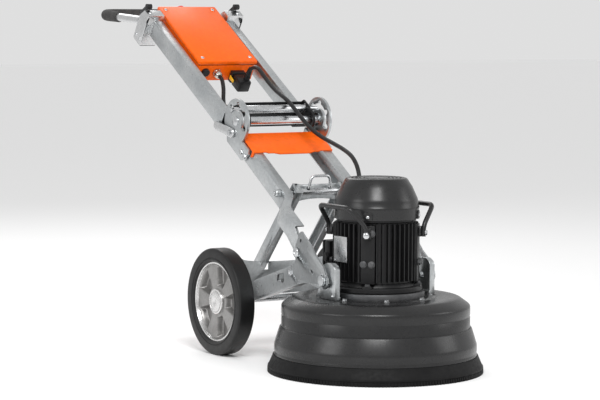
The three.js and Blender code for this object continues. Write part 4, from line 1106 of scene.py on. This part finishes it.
class LowerFrame:
    """Lower bars with their fold discs, orange cover, pivot tube, lever and sprung strut."""

    def build(self) -> None:
        """Make the pieces between the chassis and the fold."""
        for name, hand in HANDS:
            remake(f"lower_arm_{name}", ZINC, "lower_frame", 1.0)
            seats = [((hand * 130.4, s, n), (hand, 0, 0)) for s, n in ((-62, -34), (-34, -34))]
            seats += [((hand * 140, s, n), (hand, 0, 0)) for s, n in ((-72, -26), (-50, -26))]
            REPEAT.seats(f"frame_bolts_{name}", hex_bolt(14, 6), seats, LOWER, STEEL, "lower_frame")
            collar = lathe([(12.4, 0), (19, 0), (19, 3), (17, 4.5), (12.4, 4.5)], 48)
            at = Matrix.Translation((hand * 131.6 - (4.5 if hand > 0 else 0), 0, 0)) @ TO_X
            settle(f"pivot_collar_{name}", moved(collar, at), LEVEL_UPPER, STEEL, "lower_frame")
            cap = lathe([(0, 0), (14, 0), (14, 3), (11, 5), (0, 5.6)], 40)
            side = Matrix.Translation((hand * 140, 0, 0)) @ spun(90 * hand, "Y")
            settle(f"pivot_cap_{name}", moved(cap, side), LEVEL_UPPER, STEEL, "lower_frame")
            remake(f"lock_pin_{name}", STEEL, f"pin_{name}", 0.8)
            socket = lathe([(6.0, 0), (11, 0), (11, 13), (9, 16), (6.0, 16)], 32)
            turn = Matrix.Translation((hand * 127.4, 0, 0)) @ spun(90 * hand, "Y")
            settle(f"pin_socket_{name}", moved(socket, turn), STRUT, ZINC, "lower_frame", (), 0.5)
        for node, finish, body, bevel in (("cross_cover", ORANGE, "lower_frame", 0.9),
                                          ("pivot_tube", STEEL, "lower_frame", 0.8),
                                          ("release_lever", ALUMINIUM, "fold_lever", 2.2)):
            remake(node, finish, body, bevel)
        lever = joint_place("lever_lift")
        seat = [((-148.3, (lever.y - AXIS_Y) / MM, lever.z / MM), (-1, 0, 0))]
        REPEAT.seats("lever_bolt", hex_bolt(17, 7), seat, MACHINE, STEEL, "fold_lever")
        remake("strut_frame", ZINC, "strut", 1.0)
        remake("lock_tube", STEEL, "strut", 0.6)
        self._handle()

    @staticmethod
    def _handle() -> None:
        """Make the sprung lock's small bent handle."""
        line = rounded_line([(-35, -4, 11.6), (-29, -10, 43.8), (29, -10, 43.8), (35, -4, 11.6)], 12, 10)
        rod = sweep(line, [3.75], 16)
        feet = [shifted(lathe([(0, 9.9), (6.4, 9.9), (6.4, 15), (5, 16.7), (0, 16.7)], 24), x, -4, 0)
                for x in (-35, 35)]
        settle("spring_handle_rod", merged(rod, *feet), STRUT, STEEL, "spring_handle", ["lock_handle"])


@dataclass
class UpperFrame:
    """Upper bars, yoke, control box, connectors, clamps and handlebar."""

    box_start: float = 323.0
    box_end: float = 623.0
    half_width: float = 97.0
    top: float = -10.0

    def build(self) -> None:
        """Make every piece above the fold."""
        for name, hand in HANDS:
            remake(f"upper_bar_{name}", ZINC, "upper_frame", 2.4)
            remake(f"clamp_block_{name}", ALUMINIUM, "upper_frame", 1.6)
            remake(f"clamp_lever_{name}", BLACK_PLASTIC, f"cam_{name}", 2.6)
            self._clamp_trim(name, hand)
            seats = [((hand * 103.6, s, n), (-hand, 0, 0)) for s, n in ((88, -33), (104, -48))]
            REPEAT.seats(f"yoke_bolts_{name}", hex_bolt(14, 5), seats, UPPER, STEEL, "upper_frame")
        remake("hinge_yoke", BLACK_PAINT, "upper_frame", 1.2)
        remake("lock_bar", STEEL, "fold_lock", 0.9)
        self._control_box()
        self._controls()
        self._connectors()
        self._handlebar()

    @staticmethod
    def _clamp_trim(name: str, hand: int) -> None:
        """Make a clamp's black end cap and its screws."""
        cap = brick((111, 558, -109), (162, 602.5, -105.6))
        place = UPPER @ Matrix.Scale(hand, 4, (1, 0, 0))
        settle(f"clamp_cap_{name}", cap, place, BLACK_PLASTIC, "upper_frame", (), 2)
        seats = [((hand * 150.5, 571, -1), (0, 0, 1))]
        REPEAT.seats(f"clamp_screws_{name}", pan_screw(6, 4), seats, UPPER, STEEL, "upper_frame")
        side = [((hand * 164, s, n), (hand, 0, 0)) for s, n in ((568, -88), (592, -88))]
        REPEAT.seats(f"clamp_side_screws_{name}", pan_screw(5, 2.5), side, UPPER, STEEL, "upper_frame")

    def _control_box(self) -> None:
        """Make the orange box, its lid, gasket and screws."""
        w = self.half_width
        low = self.top - 70
        lid_low = self.top - 14
        shell = brick((-w, self.box_start, low), (w, self.box_end, lid_low - 1.2))
        settle("control_box_shell", shell, UPPER, ORANGE, "upper_frame", ["control_box"], 5)
        gasket = brick((-w + 2, self.box_start + 2, lid_low - 2), (w - 2, self.box_end - 2, lid_low + 1))
        settle("control_box_gasket", gasket, UPPER, BLACK_PLASTIC, "upper_frame", (), 0.6)
        lid = brick((-w - 2, self.box_start - 2, lid_low), (w + 2, self.box_end + 2, self.top))
        settle("control_box_lid", lid, UPPER, ORANGE, "upper_frame", ["box_lid"], 4.5)
        seats = [((x, s, self.top), (0, 0, 1)) for x in (-80.4, 80.4) for s in (342, 604)]
        REPEAT.seats("lid_screws", pan_screw(5.6, 2.6), seats, UPPER, STEEL, "upper_frame")
        cups = lathe([(5.8, -0.2), (8.4, -0.2), (8.0, 0.5), (6.2, 0.5)], 32)
        REPEAT.seats("lid_screw_cups", cups, seats, UPPER, ORANGE, "upper_frame")
        feet = [brick((x - 9, s - 16, low - 2.5), (x + 9, s + 16, low + 1)) for x in (-76, 76)
                for s in (356, 590)]
        settle("box_mounting_feet", merged(*feet), UPPER, ZINC, "upper_frame", (), 0.8)

    def _controls(self) -> None:
        """Make the stop button, the switch and the speed dial on the operator's end."""
        face = self.box_end
        n = -44
        button = lathe([(0, 4), (12.6, 4), (12.6, 19), (17.4, 21), (18, 24), (18, 30), (15.5, 33.4), (9, 35),
                        (0, 35.4)], 64)
        settle("stop_mushroom", stood(button, TO_Y, 0, face + 0.6, n), UPPER, RED_PLASTIC,
               "stop_button", ["estop_button"])
        bezel = lathe([(13.2, 0.2), (19.6, 0.2), (19.6, 4.4), (18.4, 6), (14.4, 6), (13.2, 4.8)], 64)
        settle("stop_bezel", stood(bezel, TO_Y, 0, face, n), UPPER, YELLOW_PLASTIC, "upper_frame")
        for name, x, node, body in (("switch", -58, "power_switch", "switch_knob"),
                                    ("dial", 58, "speed_dial", "dial_knob")):
            base = lathe([(0, 0.4), (14.8, 0.4), (14.8, 7), (13.4, 11), (12, 12), (0, 12)], 48)
            grip = brick((-4, -13.6, 2), (4, 13.6, 23.6))
            pointer = brick((-0.8, 5, 23.4), (0.8, 13, 24.0))
            at = Matrix.Translation((x, face + 2.2, n)) @ TO_Y
            settle(f"{name}_grip", moved(merged(base, grip), at), UPPER, BLACK_PLASTIC, body, [node], 0.9)
            settle(f"{name}_pointer", moved(pointer, at), UPPER, PALE_MARK, body)
            plate = lathe([(15.4, 0), (20.5, 0), (20.5, 1), (15.4, 1)], 48)
            ring = Matrix.Translation((x, face, n)) @ TO_Y
            settle(f"{name}_ring", moved(plate, ring), UPPER, BLACK_PLASTIC, "upper_frame")
            tick = brick((-0.5, -0.5, 0.9), (2.2, 0.5, 1.35))
            REPEAT.ring(f"{name}_ticks", tick, 12, 17.2, UPPER @ ring, PALE_MARK, "upper_frame")

    def _connectors(self) -> None:
        """Make the gland, the socket, its plug and latch, the blank plug and the supply inlet."""
        s = self.box_start
        nut = lathe([(0, -8), (14, -8), (14, -2.4), (0, -2.4)], 6)
        dome = lathe([(0, -26), (6.6, -26), (9, -24.4), (11.6, -18), (12, -12), (12, -7), (0, -7)], 40)
        settle("gland_body", stood(merged(nut, dome), TO_Y, -32, s, -48), UPPER, NICKEL,
               "upper_frame", ["cable_gland"], 0.5)
        socket = brick((13.2, s - 20, -75.8), (58.8, s - 2.4, -40.2))
        settle("socket_frame", socket, UPPER, BLACK_PLASTIC, "upper_frame", ["connector_socket"], 3)
        hood = brick((16.2, s - 65.8, -77.8), (55.8, s - 20.4, -42.2))
        settle("plug_hood", hood, UPPER, BLACK_PLASTIC, "upper_frame", ["connector_plug"], 4.5)
        ribs = [brick((15.6, s - 62 + 7 * k, -74), (56.4, s - 59 + 7 * k, -46)) for k in range(3)]
        settle("plug_ribs", merged(*ribs), UPPER, BLACK_PLASTIC, "upper_frame", (), 0.8)
        neck = lathe([(0, -43), (9.4, -43), (9.4, -32), (8, -28.2), (0, -28.2)], 32)
        settle("plug_gland", shifted(neck, 44, 272, 0), UPPER, BLACK_PLASTIC, "upper_frame")
        side = [(s - 36, -64), (s - 12, -64), (s - 12, -52), (s - 36, -55)]
        latches = [slab(side, x, x + 3.2, "X") for x in (10.2, 58.6)]
        settle("plug_latches", merged(*latches), UPPER, YELLOW_PLASTIC, "upper_frame", (), 1)
        blank = lathe([(0, -9), (11, -9), (13, -7.4), (13, -0.2), (0, -0.2)], 40)
        settle("blank_plug", stood(blank, TO_Y, -70, s, -48), UPPER, BLACK_PLASTIC, "upper_frame")
        tube = lathe([(22.3, 92.2), (25.8, 92.2), (25.8, 97), (24.4, 99), (24.4, 150), (22, 159), (9, 159.8),
                      (0, 159.8), (0, 121), (22.3, 121)], 64)
        settle("inlet_shell", stood(tube, TO_Y, -62, 0, -86), UPPER, BLACK_PLASTIC, "upper_frame",
               ["power_inlet"])
        lug = brick((-103, 101, -74), (-64, 121, -69.4))
        settle("inlet_lug", lug, UPPER, BLACK_PLASTIC, "upper_frame", (), 1)
        pins = []
        for (x, z, _), _ in round_seats(5, 90, 13, 0):
            pin = moved(lathe([(0, 120), (3, 120), (3, 101), (0, 99.5)], 16), TO_Y)
            pins.append(shifted(pin, x - 62, 0, z - 86))
        settle("inlet_pins", merged(*pins), UPPER, NICKEL, "upper_frame")

    @staticmethod
    def _handlebar() -> None:
        """Make the bent handlebar and its foam sleeve."""
        front = Vector((150.5, 990.85, 928.22))
        back = Vector((front.x, 1310, front.z + (1310 - front.y) * math.tan(math.radians(3.5))))
        sleeve = back + (front - back).normalized() * 121.6
        mirror = Vector((-1, 1, 1))
        tube, line = (rounded_line([end, back, back * mirror, end * mirror], 58, 16)
                      for end in (front, sleeve))
        settle("handlebar_tube", sweep(tube, [12.25], 32), MACHINE, ALUMINIUM, "handle", ["handlebar"])
        sizes = [16.9 if 0 < i < len(line) - 1 else 15.6 for i in range(len(line))]
        settle("handlebar_foam", sweep(line, sizes, 32), MACHINE, FOAM, "handle", ["handle_grip"])


# ---------------------------------------------------------------- studio


@dataclass
class Studio:
    """Pale floor, soft lights and the camera."""

    lens: float = 144.0
    camera_place: tuple[float, float, float] = (-3.5573, -5.3180, 0.9738)
    yaw: float = 31.95
    pitch: float = 4.60
    roll: float = 0.27

    def camera(self) -> None:
        """Set up the camera."""
        data = bpy.data.cameras.new("view")
        data.lens = self.lens
        data.sensor_width = 36.0
        data.dof.use_dof = False
        view = linked("view", data)
        turn = spun(-self.yaw) @ spun(90 - self.pitch, "X") @ spun(self.roll)
        x, y, z = self.camera_place
        view.matrix_world = Matrix.Translation((x, y + AXIS_Y, z)) @ turn
        bpy.context.scene.camera = view

    def light(self) -> None:
        """Set up the floor, the world and the lamps."""
        mesh = bmesh.new()
        bmesh.ops.create_grid(mesh, x_segments=2, y_segments=2, size=30)
        floor = linked("floor", as_data("floor", mesh))
        paint = bpy.data.materials.new("pale_floor")
        paint.use_nodes = True
        shader = paint.node_tree.nodes["Principled BSDF"]
        shader.inputs["Base Color"].default_value = (0.97, 0.97, 0.97, 1)
        shader.inputs["Roughness"].default_value = 0.8
        floor.data.materials.append(paint)
        world = bpy.data.worlds.new("studio")
        world.use_nodes = True
        sky = world.node_tree.nodes["Background"]
        sky.inputs["Color"].default_value = (1.0, 1.0, 1.0, 1)
        sky.inputs["Strength"].default_value = 0.74
        bpy.context.scene.world = world
        bpy.context.scene.view_settings.view_transform = "Standard"
        for lamp in (("key", (-1.2, -2.4, 2.6), 1.1, 60), ("side", (-3.4, -0.6, 1.9), 1.4, 26),
                     ("fill", (3.2, -2.4, 1.8), 1.6, 20), ("back", (0.8, 3.0, 2.8), 1.8, 30)):
            self._lamp(*lamp)

    @staticmethod
    def _lamp(name: str, place: tuple[float, float, float], size: float, power: float) -> None:
        """Add one soft area lamp aimed at the machine."""
        data = bpy.data.lights.new(name, "AREA")
        data.shape = "SQUARE"
        data.size = size
        data.energy = power
        lamp = linked(name, data)
        aim = Vector((0, 0, 0.4)) - Vector(place)
        lamp.matrix_world = Matrix.Translation(place) @ aim.to_track_quat("-Z", "Y").to_matrix().to_4x4()


def main() -> None:
    """Build the machine in order."""
    studio = Studio()
    studio.camera()
    for part in (Cables(), Shroud(), Motor(), Drive(), Wheels(), Chassis(), LowerFrame(), UpperFrame()):
        LOG.info("building %s", type(part).__name__)
        part.build()
    studio.light()


if __name__ == "__main__":
    main()
